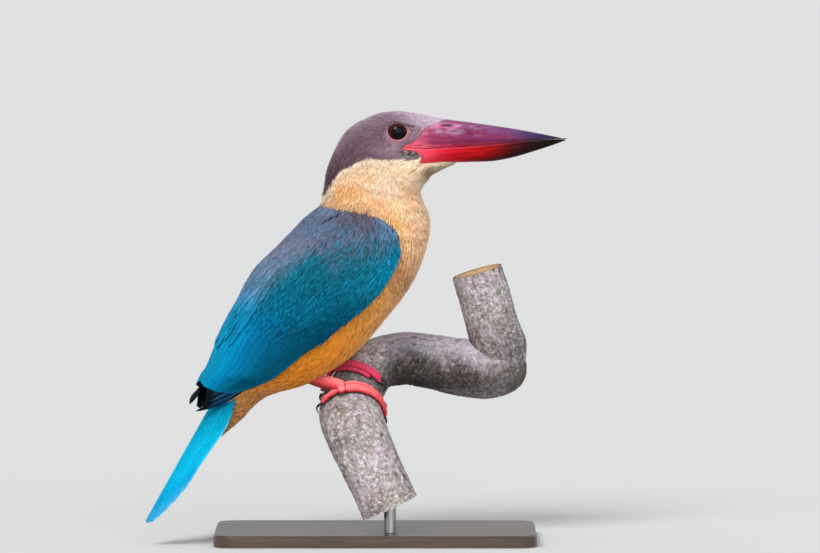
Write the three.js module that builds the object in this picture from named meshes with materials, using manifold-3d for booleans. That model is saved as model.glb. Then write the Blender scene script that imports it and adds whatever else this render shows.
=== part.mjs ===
// Stork-billed kingfisher on a cut length of branch, on a plain display stand. Life size, millimetres, +Z up.
// The bird faces +X and shows its right side to -Y. Its trunk is turned BODY_YAW to its left of that, so the tail comes
// forward, and the neck brings the head back into the X-Z plane. Everything below the throat lives in the trunk's own
// median plane; `turn` runs from 0 (head) to 1 (trunk) along the neck.
import * as THREE from "three";
import { mergeVertices } from "three/addons/utils/BufferGeometryUtils.js";
import Module from "manifold-3d";

const wasm = await Module();
wasm.setup();

// ---------------------------------------------------------------- driving dimensions
const GAP = 0.3; // between pieces that touch
const GRID = 0.02; // corners are rounded to this
const BODY_YAW = THREE.MathUtils.degToRad(18);
const PIVOT_X = -9.6; // where the trunk's median plane crosses y = 0
const HEAD_Y = 6.6; // the head's median plane
const CENTRE = [0.23, 0]; // middle of the whole box, taken to the origin

const EYE = { x: 23.6, z: 237.3, radius: 6.4, side: 10.5 };
const BILL_GAPE_X = 24;
const BILL_TIP_X = 121.6;

const WING_STAND = 3.2; // wings' thickness over the flanks
const WING_RISE = 3.0; // and over the back

const TAIL_HALF = 16.5; // half width of the closed tail
const TAIL_DROP = 4.8; // its outer feathers lie this much lower than the middle ones
const TAIL_THICK = 2.6;

const TARSUS_R = 3.1;
const TOE_R = 1.75;
const TOE_PAIR = 1.1; // the middle and outer toes are joined, and each lies this far from the middle of the pair
const TOE_SPACE = 4.55; // from the middle of the pair to the inner toe
const SOLE_R = 2.9;
const TOE_RISE = 0.02; // how much higher the outer toes lie over a bend of the branch, mm for each mm squared
const CLAW_LEN = 7.2;

const BASE = { x0: -82, x1: 104, half: 53, thick: 7, corner: 10, bevel: 1 };
const ROD_R = 3.5;

// Body stations, head to tail: dorsal and ventral point (x, z), half width, turn, level of the widest point (0 dorsal,
// 1 ventral) and squareness of the section.
const STATIONS = [
  { name: "chin", d: [56.0, 242.9], v: [57.6, 218.2], w: 8.6, turn: 0, mid: 0.5, n: 2.2 },
  { name: "forehead", d: [48.4, 245.6], v: [51.9, 215.8], w: 11.2, turn: 0, mid: 0.52, n: 2.2 },
  { name: "eye", d: [25.2, 249.4], v: [44.4, 211.9], w: 15.6, turn: 0, mid: 0.55, n: 2.25 },
  { name: "crown", d: [9.0, 246.8], v: [41.8, 208.7], w: 18.2, turn: 0, mid: 0.56, n: 2.3 },
  { name: "occiput", d: [-6.7, 237.2], v: [39.4, 206.0], w: 19.2, turn: 0, mid: 0.54, n: 2.25 },
  { name: "nape", d: [-17.1, 216.8], v: [37.7, 202.1], w: 19.8, turn: 0.15, mid: 0.5, n: 2.2 },
  { name: "neck", d: [-20.4, 200.1], v: [38.9, 196.7], w: 22, turn: 0.6, mid: 0.48, n: 2.2 },
  { name: "shoulder", d: [-29.6, 185.6], v: [41.8, 184.3], w: 27.5, turn: 1, mid: 0.48, n: 2.25 },
  { name: "mantle", d: [-41.0, 170.8], v: [38.2, 166.9], w: 32, turn: 1, mid: 0.48, n: 2.35 },
  { name: "breast", d: [-53.6, 158.3], v: [30.2, 148.4], w: 33.5, turn: 1, mid: 0.48, n: 2.35 },
  { name: "flank", d: [-64.2, 140.2], v: [16.2, 130.0], w: 33.5, turn: 1, mid: 0.48, n: 2.35 },
  { name: "belly", d: [-75.1, 120.2], v: [-3.6, 107.8], w: 31, turn: 1, mid: 0.48, n: 2.3 },
  { name: "thigh", d: [-82.5, 103.0], v: [-28.1, 92.3], w: 25.5, turn: 1, mid: 0.46, n: 2.2 },
  { name: "vent", d: [-83.0, 89.2], v: [-53.0, 84.6], w: 16.5, turn: 1, mid: 0.45, n: 2.1 },
  { name: "undertail", d: [-80.0, 74.5], v: [-67.0, 71.4], w: 8.5, turn: 1, mid: 0.45, n: 2.0 },
  { name: "covert_tip", d: [-78.0, 66.2], v: [-74.4, 65.2], w: 2.4, turn: 1, mid: 0.5, n: 2.0 },
];
// The wing tips run on past the back as these stations of the wings' own outer shape.
const WING_REAR = [
  { name: "primaries", d: [-89.6, 98.0], v: [-55.0, 84.0], w: 20.5, turn: 1, mid: 0.45, n: 2.3 },
  { name: "tips", d: [-94.5, 87.5], v: [-79.0, 77.0], w: 12.5, turn: 1, mid: 0.45, n: 2.2 },
  { name: "wing_end", d: [-98.6, 80.0], v: [-93.0, 74.0], w: 4.5, turn: 1, mid: 0.45, n: 2.0 },
];
// The folded wing's outline as seen level from the right, front and lower edge only (x, z).
const WING_EDGE = [
  [-25.0, 195.5], [-12.5, 193.2], [4.0, 191.3], [15.5, 188.0], [23.0, 182.6], [26.6, 176.0], [26.4, 168.0], [23.6, 159.4],
  [17.2, 147.6], [5.0, 136.0], [-12.5, 122.4], [-27.0, 111.2], [-40.0, 101.2], [-54.5, 93.2], [-67.5, 87.2], [-79.0, 80.2],
  [-92.5, 72.4],
];
// Where the long primaries show below the secondaries and tertials (x, z).
const PRIMARY_EDGE = [
  [-8.0, 121.0], [-28.0, 111.0], [-42.0, 103.6], [-55.0, 97.6], [-69.0, 91.4], [-78.0, 88.4], [-88.5, 91.5], [-91.5, 96.0], [-101, 108],
];
// The line of the feathers round the bill, from the forehead to below the gape and along the chin (x, z).
const FACE_EDGE = [
  [52.5, 244.6], [45.6, 242.4], [39.6, 240.0], [36.8, 235.6], [32.6, 231.6], [26.4, 229.3], [26.0, 227.6], [34.0, 226.0],
  [38.4, 223.4], [36.8, 220.6], [35.8, 217.2], [42.6, 218.4], [48.6, 219.5], [54.4, 219.8], [62.0, 219.3],
];
// Bill: x, culmen, line of the mouth, lower edge (z) and half width.
const BILL = [
  [24.0, 249.5, 229.0, 215.4, 16.8],
  [38.0, 247.0, 227.8, 216.4, 13.9],
  [52.5, 244.4, 228.3, 219.0, 11.0],
  [66.0, 242.6, 229.0, 219.6, 8.8],
  [79.5, 240.7, 230.1, 220.2, 7.0],
  [92.0, 238.8, 231.3, 222.6, 5.5],
  [104.0, 236.6, 232.3, 226.2, 3.9],
  [113.5, 234.7, 232.9, 229.3, 2.5],
  [119.5, 233.4, 232.9, 231.5, 1.2],
];
// Tail: distance down the tail from its root, fraction of the half width, rise of the middle line above the chord.
const TAIL_ROOT = [-71.5, 100.0];
const TAIL_END = [-120.2, 13.2];
const TAIL_SHAPE = [
  [0.0, 0.7], [0.16, 0.86], [0.34, 0.98], [0.5, 1.0], [0.7, 0.9], [0.85, 0.72], [0.94, 0.52], [1.0, 0.24],
];
// The branch's middle line (x, y, z) and its radius, from the lower cut to the upper one.
const BRANCH = [
  [19.5, -33, 22, 16.8],
  [12.6, -33, 37, 16.6],
  [5.2, -31, 53, 17.2],
  [-0.2, -24, 65, 17.8],
  [-3.6, -11, 74, 18.0],
  [-1.8, 8, 84, 16.2],
  [9.0, 26, 99, 15.2],
  [26.0, 33, 103.4, 15.3],
  [44.0, 35, 101.5, 15.8],
  [62.0, 35, 98.2, 16.8],
  [76.0, 34, 97.6, 17.4],
  [88.0, 33, 99.4, 15.6],
  [95.0, 32, 101.0, 10.5],
  [98.4, 31.5, 102.0, 3.0],
];
const BRANCH_CUTS = [0, 2.6, 6.35, 13]; // where the branch is parted, in stations
// The fork that rises from the elbow.
const FORK = [
  [87.0, 32.5, 98.0, 12.0],
  [83.6, 32, 110.0, 16.0],
  [79.4, 31, 123.0, 15.2],
  [74.8, 30, 139.0, 15.0],
  [70.2, 29, 155.0, 14.8],
];
// Station on the branch, degrees from its crest, and how many stations the hind toe strays.
const RIGHT_FOOT = { at: 3.86, pad: -18, hallux: -60, toes: 90, stray: 0 };
const LEFT_FOOT = { at: 5.28, pad: -30, hallux: -76, toes: 66, stray: -0.42 };

// ---------------------------------------------------------------- curves and frames
const lerp = (a, b, t) => a + (b - a) * t;

// Uniform Catmull-Rom through rows of numbers, at parameter s in rows.
function spline(rows, s) {
  const last = rows.length - 1;
  const i = Math.min(Math.max(Math.floor(s), 0), last - 1);
  const t = s - i;
  const at = (j) => (j < 0 ? rows[0].map((a, k) => 2 * a - rows[1][k]) : j > last ? rows[last].map((a, k) => 2 * a - rows[last - 1][k]) : rows[j]);
  const [p0, p1, p2, p3] = [at(i - 1), at(i), at(i + 1), at(i + 2)];
  return p1.map((_, k) => 0.5 * (2 * p1[k] + (p2[k] - p0[k]) * t + (2 * p0[k] - 5 * p1[k] + 4 * p2[k] - p3[k]) * t * t + (3 * p1[k] - p0[k] - 3 * p2[k] + p3[k]) * t * t * t));
}

const depthOf = (x, turn) => HEAD_Y * (1 - turn) + turn * Math.tan(BODY_YAW) * (x - PIVOT_X);

const rowOf = (s) => [s.d[0], s.d[1], s.v[0], s.v[1], s.w, s.turn, s.mid, s.n];

// One section of the body: `count` points, from the dorsal point round by the right side.
function section(row, count, grow = 0) {
  const [dx, dz, vx, vz, w, turn0, mid, n] = row;
  const turn = Math.min(Math.max(turn0, 0), 1);
  const len = Math.hypot(vx - dx, vz - dz) || 1;
  const ux = (vx - dx) / len;
  const uz = (vz - dz) / len;
  const D = new THREE.Vector3(dx - ux * grow, 0, dz - uz * grow);
  const V = new THREE.Vector3(vx + ux * grow, 0, vz + uz * grow);
  D.y = depthOf(D.x, turn);
  V.y = depthOf(V.x, turn);
  const yaw = BODY_YAW * turn;
  const side = new THREE.Vector3(-Math.sin(yaw), Math.cos(yaw), 0);
  const C = D.clone().lerp(V, mid);
  const ring = [];
  for (let i = 0; i < count; i++) {
    const a = (2 * Math.PI * i) / count;
    const c = Math.sign(Math.cos(a)) * Math.abs(Math.cos(a)) ** (2 / n);
    const s = Math.sign(Math.sin(a)) * Math.abs(Math.sin(a)) ** (2 / n);
    const p = C.clone();
    if (c > 0) p.addScaledVector(D.clone().sub(C), c);
    else p.addScaledVector(V.clone().sub(C), -c);
    p.addScaledVector(side, -s * (w + grow));
    ring.push(p);
  }
  return ring;
}

// A closed solid through rings of equal count, with a fan at each end.
function loft(rings) {
  const count = rings[0].length;
  const pos = [];
  const tri = [];
  for (const r of rings) for (const p of r) pos.push(p.x, p.y, p.z);
  const centre = (r) => r.reduce((a, p) => a.add(p), new THREE.Vector3()).divideScalar(r.length);
  const a = centre(rings[0]);
  const b = centre(rings.at(-1));
  const ia = pos.length / 3;
  pos.push(a.x, a.y, a.z, b.x, b.y, b.z);
  for (let k = 0; k + 1 < rings.length; k++)
    for (let i = 0; i < count; i++) {
      const j = (i + 1) % count;
      const [p, q, r, s] = [k * count + i, k * count + j, (k + 1) * count + i, (k + 1) * count + j];
      tri.push(p, r, q, q, r, s);
    }
  const e = (rings.length - 1) * count;
  for (let i = 0; i < count; i++) {
    const j = (i + 1) % count;
    tri.push(ia, i, j, ia + 1, e + j, e + i);
  }
  return solid(pos, tri);
}

function solid(pos, tri) {
  const build = (t) => new wasm.Manifold(new wasm.Mesh({ numProp: 3, vertProperties: new Float32Array(pos), triVerts: new Uint32Array(t) }));
  const m = build(tri);
  if (m.volume() >= 0) return m;
  const flipped = [];
  for (let i = 0; i < tri.length; i += 3) flipped.push(tri[i], tri[i + 2], tri[i + 1]);
  return build(flipped);
}

function fromGeometry(geometry, matrix) {
  const g = geometry.clone();
  if (matrix) g.applyMatrix4(matrix);
  g.deleteAttribute("normal");
  g.deleteAttribute("uv");
  const m = mergeVertices(g, 1e-4);
  return solid(Array.from(m.attributes.position.array), Array.from(m.index.array));
}

function toGeometry(m) {
  const mesh = m.getMesh();
  const n = mesh.numProp;
  const pos = new Float32Array(mesh.numVert * 3);
  for (let i = 0; i < mesh.numVert; i++) for (let k = 0; k < 3; k++) pos[3 * i + k] = mesh.vertProperties[n * i + k];
  const g = new THREE.BufferGeometry();
  g.setAttribute("position", new THREE.BufferAttribute(pos, 3));
  g.setIndex(Array.from(mesh.triVerts));
  g.computeVertexNormals();
  return g;
}

// The same solid with its corners on a fine grid, which welds the slivers that a cut leaves.
function snapped(m) {
  const mesh = m.getMesh();
  const n = mesh.numProp;
  const seen = new Map();
  const pos = [];
  const id = [];
  for (let i = 0; i < mesh.numVert; i++) {
    const p = [0, 1, 2].map((k) => Math.round(mesh.vertProperties[n * i + k] / GRID));
    const key = p.join();
    if (!seen.has(key)) {
      seen.set(key, seen.size);
      pos.push(...p.map((v) => v * GRID));
    }
    id.push(seen.get(key));
  }
  const tri = [];
  for (let i = 0; i < mesh.triVerts.length; i += 3) {
    const [a, b, c] = [0, 1, 2].map((k) => id[mesh.triVerts[i + k]]);
    if (a !== b && b !== c && c !== a) tri.push(a, b, c);
  }
  return solid(pos, tri);
}

// A prism through the model along Y, from an outline in x and z.
function prism(points, y0, y1) {
  const shape = new THREE.Shape(points.map(([x, z]) => new THREE.Vector2(x, z)));
  const g = new THREE.ExtrudeGeometry(shape, { depth: y1 - y0, bevelEnabled: false });
  // the outline's own plane is X-Z, so its Y becomes Z and its depth runs towards -Y
  return fromGeometry(g, new THREE.Matrix4().makeTranslation(0, y1, 0).multiply(new THREE.Matrix4().makeRotationX(Math.PI / 2)));
}

const smoothEdge = (points, steps) => {
  const out = [];
  for (let i = 0; i <= (points.length - 1) * steps; i++) out.push(spline(points, i / steps));
  return out;
};

// The body's solid between two places along its stations.
function bodyPart(rows, s0, s1, steps, count, grow = 0) {
  const rings = [];
  for (let i = 0; i <= steps; i++) rings.push(section(spline(rows, lerp(s0, s1, i / steps)), count, grow));
  return loft(rings);
}

// The largest body of a cut, for slivers that a cut may leave.
const largest = (m) => m.decompose().reduce((a, b) => (b.volume() > a.volume() ? b : a));

// To and from the trunk's own frame, for the mirror of the left wing.
const mirrored = (m) => {
  const toLocal = new THREE.Matrix4().makeRotationZ(-BODY_YAW).multiply(new THREE.Matrix4().makeTranslation(-PIVOT_X, 0, 0));
  const flip = new THREE.Matrix4().makeScale(1, -1, 1);
  const all = toLocal.clone().invert().multiply(flip).multiply(toLocal);
  const mesh = m.getMesh();
  const pos = [];
  for (let i = 0; i < mesh.numVert; i++) {
    const p = new THREE.Vector3(...mesh.vertProperties.subarray(i * mesh.numProp, i * mesh.numProp + 3)).applyMatrix4(all);
    pos.push(p.x, p.y, p.z);
  }
  return solid(pos, Array.from(mesh.triVerts));
};

// ---------------------------------------------------------------- node list
const group = new THREE.Group();
const skins = {
  cap: ["#6b5a5c", 0.85], buff: ["#e3b27a", 0.85], orange: ["#cf8a3c", 0.85], back: ["#2f6f86", 0.7], wing: ["#1f7f9f", 0.65],
  primary: ["#1d2228", 0.6], tail: ["#1e9fc4", 0.55], bill: ["#8c1430", 0.3], bill2: ["#b5121f", 0.3], eye: ["#140c0a", 0.05],
  foot: ["#c01f1c", 0.45], claw: ["#171312", 0.35], bark: ["#6f6259", 0.95], base: ["#2b2724", 0.5], rod: ["#9a9a98", 0.35],
};
function add(name, made, skin) {
  const m = largest(snapped(made));
  const [color, roughness] = skins[skin];
  const mesh = new THREE.Mesh(toGeometry(m), new THREE.MeshStandardMaterial({ color, roughness, metalness: skin === "rod" ? 0.9 : 0 }));
  mesh.name = name;
  mesh.position.set(-CENTRE[0], -CENTRE[1], 0);
  group.add(mesh);
}

// ---------------------------------------------------------------- branch
const axisPoint = (s, rows = BRANCH) => new THREE.Vector3(...spline(rows, s).slice(0, 3));
const branchRadius = (s) => spline(BRANCH, s)[3];
const branchTangent = (s, rows = BRANCH) => axisPoint(Math.min(s + 0.02, rows.length - 1), rows).sub(axisPoint(Math.max(s - 0.02, 0), rows)).normalize();

// A round length of branch. The section's frame is carried along without twist from the first ring.
function branchPart(rows, s0, s1, steps, sides, grow = 0) {
  const rings = [];
  let up = new THREE.Vector3(0.9, 0, 0.44);
  for (let i = 0; i <= steps; i++) {
    const s = lerp(s0, s1, i / steps);
    const c = axisPoint(s, rows);
    const r = spline(rows, s)[3] + grow;
    const t = branchTangent(s, rows);
    up = up.clone().addScaledVector(t, -up.dot(t)).normalize();
    const out = new THREE.Vector3().crossVectors(up, t);
    rings.push(Array.from({ length: sides }, (_, j) => {
      const a = (2 * Math.PI * j) / sides;
      return c.clone().addScaledVector(up, r * Math.cos(a)).addScaledVector(out, r * Math.sin(a));
    }));
  }
  return loft(rings);
}
const cutGap = 0.011; // stations, about 0.2 mm each side of a cut
const branchNames = ["perch_limb", "perch_bend", "perch_cross_limb"];
const branchSteps = [5, 9, 11];
branchNames.forEach((name, i) => add(name, branchPart(BRANCH, BRANCH_CUTS[i] + (i ? cutGap : 0), BRANCH_CUTS[i + 1] - (i < 2 ? cutGap : 0), branchSteps[i], 14), "bark"));
const branchPlace = branchPart(BRANCH, 1.5, 8.5, 20, 14, GAP); // where the feet and the belly may not go
const elbowPlace = branchPart(BRANCH, BRANCH_CUTS[2] + cutGap, BRANCH_CUTS[3], branchSteps[2], 14, 2 * GAP).add(fromGeometry(new THREE.SphereGeometry(4.5, 10, 8), new THREE.Matrix4().makeTranslation(...BRANCH.at(-1).slice(0, 3))));
add("perch_fork", largest(branchPart(FORK, 0, FORK.length - 1, 5, 14).subtract(elbowPlace)), "bark");

// ---------------------------------------------------------------- feet
// A tapering round limb through points, `sides` round.
function limb(points, radii, sides) {
  const rings = [];
  let up = null;
  points.forEach((p, i) => {
    const t = points[Math.min(i + 1, points.length - 1)].clone().sub(points[Math.max(i - 1, 0)]).normalize();
    if (!up) up = Math.abs(t.z) < 0.9 ? new THREE.Vector3(0, 0, 1) : new THREE.Vector3(1, 0, 0);
    up = up.clone().addScaledVector(t, -up.dot(t)).normalize();
    const out = new THREE.Vector3().crossVectors(up, t);
    rings.push(Array.from({ length: sides }, (_, j) => {
      const a = (2 * Math.PI * (j + 0.5)) / sides;
      return p.clone().addScaledVector(up, radii[i] * Math.cos(a)).addScaledVector(out, radii[i] * Math.sin(a));
    }));
  });
  return loft(rings);
}

// The point over the branch at a station, an angle from the crest (positive towards +X) and a height over the bark,
// moved a way `along` the branch's direction there.
function onBranch(s, deg, height, along = 0) {
  const t = branchTangent(s);
  const crest = new THREE.Vector3(0, 0, 1).addScaledVector(t, -t.z).normalize();
  const right = new THREE.Vector3().crossVectors(t, crest).normalize();
  if (right.x < 0) right.negate();
  const a = THREE.MathUtils.degToRad(deg);
  const r = branchRadius(s) + height + along ** 2 * TOE_RISE;
  return axisPoint(s).addScaledVector(crest, r * Math.cos(a)).addScaledVector(right, r * Math.sin(a)).addScaledVector(t, along);
}

// One toe from the sole to its claw. spread is how far it lies along the branch from the middle of the foot, in mm, and
// stray how many stations it wanders on its way.
function toe(s, from, to, r0, r1, spread, stray, steps) {
  const points = [];
  const radii = [];
  for (let i = 0; i <= steps; i++) {
    const t = i / steps;
    const r = lerp(r0, r1, t);
    points.push(onBranch(s + stray * t, lerp(from, to, t), r + 0.5, spread));
    radii.push(r);
  }
  return { points, radii };
}
// The middle and outer toes, joined side by side.
function toePair(s, from, to, r0, r1, steps, sides) {
  const rings = [];
  for (let i = 0; i <= steps; i++) {
    const t = i / steps;
    const r = lerp(r0, r1, t);
    rings.push(Array.from({ length: sides }, (_, j) => {
      const a = (2 * Math.PI * (j + 0.5)) / sides;
      return onBranch(s, lerp(from, to, t), r + 0.5 + r * Math.cos(a), (TOE_PAIR + r) * Math.sin(a));
    }));
  }
  return loft(rings);
}
function claw(s, from, sign, r, spread, steps) {
  const points = [];
  const radii = [];
  for (let i = 0; i <= steps; i++) {
    const t = i / steps;
    const R = branchRadius(s);
    const deg = from + (sign * t * CLAW_LEN * 180) / Math.PI / (R + 2);
    points.push(onBranch(s, deg, r + 0.5 + 1.5 * Math.sin(Math.PI * Math.min(t * 1.15, 1)) - t * (r - 0.6), spread));
    radii.push(lerp(r, 0.28, t ** 0.8));
  }
  return limb(points, radii, 5);
}

// A foot: the tarsus with the sole, a bar across the branch that the front toes grow from, then each toe and claw.
function foot(side, at, ankle, knee) {
  const inner = side === "right" ? 1 : -1; // the inner toe lies towards the other foot
  const mid = inner * (TOE_SPACE - TOE_PAIR - TOE_R) * 0.5; // middle of the three toes together
  const sole = [-1, -0.8, 0, 0.8, 1].map((u) => onBranch(at.at, at.pad, SOLE_R + 0.5, mid + u * 5.2));
  const soleRadii = [0.5, 0.9, 1, 0.9, 0.5].map((u) => u * SOLE_R);
  const pad = sole[2];
  const tarsusPoints = [knee, ankle, ankle.clone().lerp(pad, 0.55), pad];
  const tarsusRadii = [1.25, 1.1, 1, 1.1].map((u) => u * TARSUS_R);
  const grown = (radii) => radii.map((r) => r + GAP);
  const leg = largest(limb(tarsusPoints, tarsusRadii, 8).add(limb(sole, soleRadii, 8)).subtract(branchPlace));
  const legCut = limb([knee.clone().lerp(ankle, -0.08), ...tarsusPoints.slice(1)], grown(tarsusRadii), 8).add(limb(sole, grown(soleRadii), 8));
  const out = { leg, legCut, parts: [] };
  const start = THREE.MathUtils.radToDeg((SOLE_R + 1.0) / (branchRadius(at.at) + TOE_R));
  out.parts.push([`toe_${side}_front`, toePair(at.at, at.pad + start, at.toes, TOE_R, TOE_R * 0.8, 8, 10), "foot"]);
  for (const [name, way] of [["middle", inner], ["outer", -inner]]) {
    out.parts.push([`claw_${side}_${name}`, claw(at.at, at.toes + 2, 1, TOE_R * 0.6, way * 1.3, 4), "claw"]);
  }
  const r = TOE_R * 0.85;
  const path = toe(at.at, at.pad + start, at.toes - 24, r, r * 0.8, inner * TOE_SPACE, 0, 7);
  out.parts.push([`toe_${side}_inner`, limb(path.points, path.radii, 7), "foot"]);
  out.parts.push([`claw_${side}_inner`, claw(at.at, at.toes - 22, 1, r * 0.66, inner * TOE_SPACE, 4), "claw"]);
  const back = toe(at.at, at.pad - start, at.hallux, TOE_R * 1.05, TOE_R * 0.8, 0, at.stray, 6);
  out.parts.push([`toe_${side}_hind`, largest(limb(back.points, back.radii, 7).subtract(legCut)), "foot"]);
  out.parts.push([`claw_${side}_hind`, claw(at.at + at.stray, at.hallux - 2 - 12 * Math.abs(at.stray), -1, TOE_R * 0.62, 0, 4), "claw"]);
  return out;
}

// ---------------------------------------------------------------- body
const rows = STATIONS.map(rowOf);
const index = (name) => STATIONS.findIndex((s) => s.name === name);
const HEAD_END = index("nape") + 0.55;
const NECK_END = index("shoulder") + 0.15;
const BREAST_END = index("breast") + 0.55;
const TRUNK_END = index("thigh") + 0.35;
const seam = 0.009;

const eyeBall = (radius, side, w = 12, h = 8) =>
  fromGeometry(new THREE.SphereGeometry(radius, w, h), new THREE.Matrix4().makeTranslation(EYE.x, HEAD_Y + side * EYE.side, EYE.z));

// head, with the bill's place and the eyes' sockets cut out of it
const faceLine = FACE_EDGE;
const GAPE_Z = 228.5;
const billPlace = (inset) => prism([...faceLine.map(([x, z]) => [x + inset, z > GAPE_Z ? z - inset : z + inset]), [140, 219.3 + inset], [140, 262], [52.5 + inset, 262]], -40, 60);
let head = bodyPart(rows, 0, HEAD_END - seam, 15, 20).subtract(billPlace(0));
for (const s of [-1, 1]) head = head.subtract(eyeBall(EYE.radius + GAP, s));
head = largest(head);

// bill: both halves are cut from one tapering shape along the line of the mouth
function billHalf(upper) {
  const last = BILL.length - 1;
  const ringsAt = (s) => {
    const [x, top, mouth, low, w] = spline(BILL, s);
    const rise = upper ? top - mouth - GAP / 2 : mouth - GAP / 2 - low;
    const flat = upper ? mouth + GAP / 2 : mouth - GAP / 2;
    const n = upper ? 1.75 : 1.9;
    const ring = [];
    const arc = 9;
    for (let i = 0; i <= arc; i++) {
      const a = (Math.PI * i) / arc;
      const c = Math.sign(Math.cos(a)) * Math.abs(Math.cos(a)) ** (2 / 2.3);
      const h = Math.abs(Math.sin(a)) ** (2 / n);
      ring.push(new THREE.Vector3(x, HEAD_Y - w * c, flat + (upper ? 1 : -1) * rise * h));
    }
    ring.push(new THREE.Vector3(x, HEAD_Y, flat));
    return ring;
  };
  const rings = [];
  for (let i = 0; i <= 12; i++) rings.push(ringsAt((last * i) / 12));
  const tip = upper ? [BILL_TIP_X, 233.0] : [BILL_TIP_X - 1.6, 232.4];
  rings.push(rings.at(-1).map((p) => new THREE.Vector3(tip[0], HEAD_Y + (p.y - HEAD_Y) * 0.25, tip[1] + (p.z - tip[1]) * 0.2)));
  return largest(loft(rings).intersect(billPlace(GAP * 1.4)));
}

// the trunk's lengths, head to tail: their ends on the stations, rings and points per ring
const LENGTHS = {
  neck: [HEAD_END, NECK_END, 6, 20],
  breast: [NECK_END, BREAST_END, 7, 20],
  trunk: [BREAST_END, TRUNK_END, 8, 20],
  undertail: [TRUNK_END, rows.length - 1, 8, 16],
};
const lengthOf = (name, grow = 0) => {
  const [s0, s1, steps, count] = LENGTHS[name];
  return bodyPart(rows, s0 + (grow ? 0 : seam), s1 - (grow || name === "undertail" ? 0 : seam), steps, count, grow);
};
const wingRows = [
  ...STATIONS.slice(index("neck"), index("thigh") + 1).map((s) => {
    const r = rowOf(s);
    const len = Math.hypot(r[2] - r[0], r[3] - r[1]);
    const full = s.name === "neck" ? 0.3 : s.name === "shoulder" ? 0.5 : 1; // the wing thins towards the neck
    r[0] -= ((r[2] - r[0]) / len) * WING_RISE * full;
    r[1] -= ((r[3] - r[1]) / len) * WING_RISE * full;
    r[4] += WING_STAND * full;
    r[5] = 1;
    r[7] += 0.15;
    return r;
  }),
  ...WING_REAR.map(rowOf),
];

const wingFront = smoothEdge(WING_EDGE, 1);
const wingShape = prism([...wingFront, [-112, 62], [-140, 90], [-60, 215], [-30, 215]], -90, 90);
const trunkCut = Object.keys(LENGTHS).map((name) => lengthOf(name, GAP)).reduce((a, b) => a.add(b));
// the side of the median plane that a wing is on: -1 right, 1 left
const halfSpace = (side) => fromGeometry(new THREE.BoxGeometry(300, 90, 300), new THREE.Matrix4().makeTranslation(PIVOT_X, 0, 130).multiply(new THREE.Matrix4().makeRotationZ(BODY_YAW)).multiply(new THREE.Matrix4().makeTranslation(0, side * (45 + GAP / 2), 0)));
const primaryLine = smoothEdge(PRIMARY_EDGE, 1);
const primaryShape = (d) => prism([...primaryLine.map(([x, z]) => [x - d, z - d]), [-140, 100], [-140, 40], [0, 40], [20, 100]], -90, 90);
const wingLoft = bodyPart(wingRows, 0, wingRows.length - 1, 17, 20);
function wing(side) {
  const turned = (m) => (side < 0 ? m : mirrored(m));
  const whole = wingLoft.intersect(turned(wingShape)).intersect(halfSpace(side)).subtract(trunkCut);
  return [largest(whole.subtract(turned(primaryShape(0)))), largest(whole.intersect(turned(primaryShape(GAP))))];
}
const [wingRight, primariesRight] = wing(-1);
const [wingLeft, primariesLeft] = wing(1);

// tail: a shallow roof of feathers, rounded at its end
function tailSolid() {
  const d = new THREE.Vector2(TAIL_END[0] - TAIL_ROOT[0], TAIL_END[1] - TAIL_ROOT[1]);
  const length = d.length();
  d.normalize();
  const under = new THREE.Vector2(-d.y, d.x); // square to the tail, towards the belly
  const f = new THREE.Vector3(Math.cos(BODY_YAW), Math.sin(BODY_YAW), 0);
  const left = new THREE.Vector3(-Math.sin(BODY_YAW), Math.cos(BODY_YAW), 0);
  const across = 8;
  const steps = 11;
  const rings = [];
  for (let i = 0; i <= steps; i++) {
    const t = (i / steps) ** 0.9;
    const s = TAIL_SHAPE.findIndex(([a]) => a >= t);
    const k = Math.max(s, 1);
    const [a0, w0] = TAIL_SHAPE[k - 1];
    const [a1, w1] = TAIL_SHAPE[k];
    const width = TAIL_HALF * lerp(w0, w1, (t - a0) / (a1 - a0));
    const thick = lerp(TAIL_THICK, TAIL_THICK * 0.55, t);
    const top = [];
    const low = [];
    for (let j = 0; j <= across; j++) {
      const u = (2 * j) / across - 1;
      const drop = TAIL_DROP * (width / TAIL_HALF) * (Math.sqrt(u * u + 0.03) - Math.sqrt(0.03)) * 1.05;
      const edge = thick * Math.sqrt(Math.max(1 - u ** 4, 0)) * 0.5 + 0.3;
      const at = (h) => {
        const x = TAIL_ROOT[0] + d.x * t * length + under.x * (drop + h);
        const z = TAIL_ROOT[1] + d.y * t * length + under.y * (drop + h);
        return new THREE.Vector3(x, Math.tan(BODY_YAW) * (x - PIVOT_X), z).addScaledVector(left, u * width);
      };
      top.push(at(-edge));
      low.push(at(edge));
    }
    rings.push([...top, ...low.reverse()]);
  }
  return loft(rings);
}
const tail = largest(tailSolid().subtract(trunkCut).subtract(primaryGrown()));
function primaryGrown() {
  // the wings' outer shape behind the trunk, a little larger, so the tail keeps clear of the wing tips
  return bodyPart(wingRows, index("thigh") - index("neck"), wingRows.length - 1, 8, 28, GAP).intersect(prism([...wingFront.map(([x, z]) => [x + GAP, z - GAP]), [-112, 61], [-140, 90], [-60, 215]], -90, 90));
}

const rightFoot = foot("right", RIGHT_FOOT, new THREE.Vector3(-22.5, -15.5, 94.2), new THREE.Vector3(-35, -13, 100));
const leftFoot = foot("left", LEFT_FOOT, new THREE.Vector3(-18.8, 11.0, 100.0), new THREE.Vector3(-27, 12.0, 104.4));

// flesh that the legs and the branch press into
const legs = rightFoot.legCut.add(leftFoot.legCut);
const clear = (m) => largest(m.subtract(legs).subtract(branchPlace));
const breast = clear(lengthOf("breast"));
const trunk = clear(lengthOf("trunk"));
const undertail = lengthOf("undertail");

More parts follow.
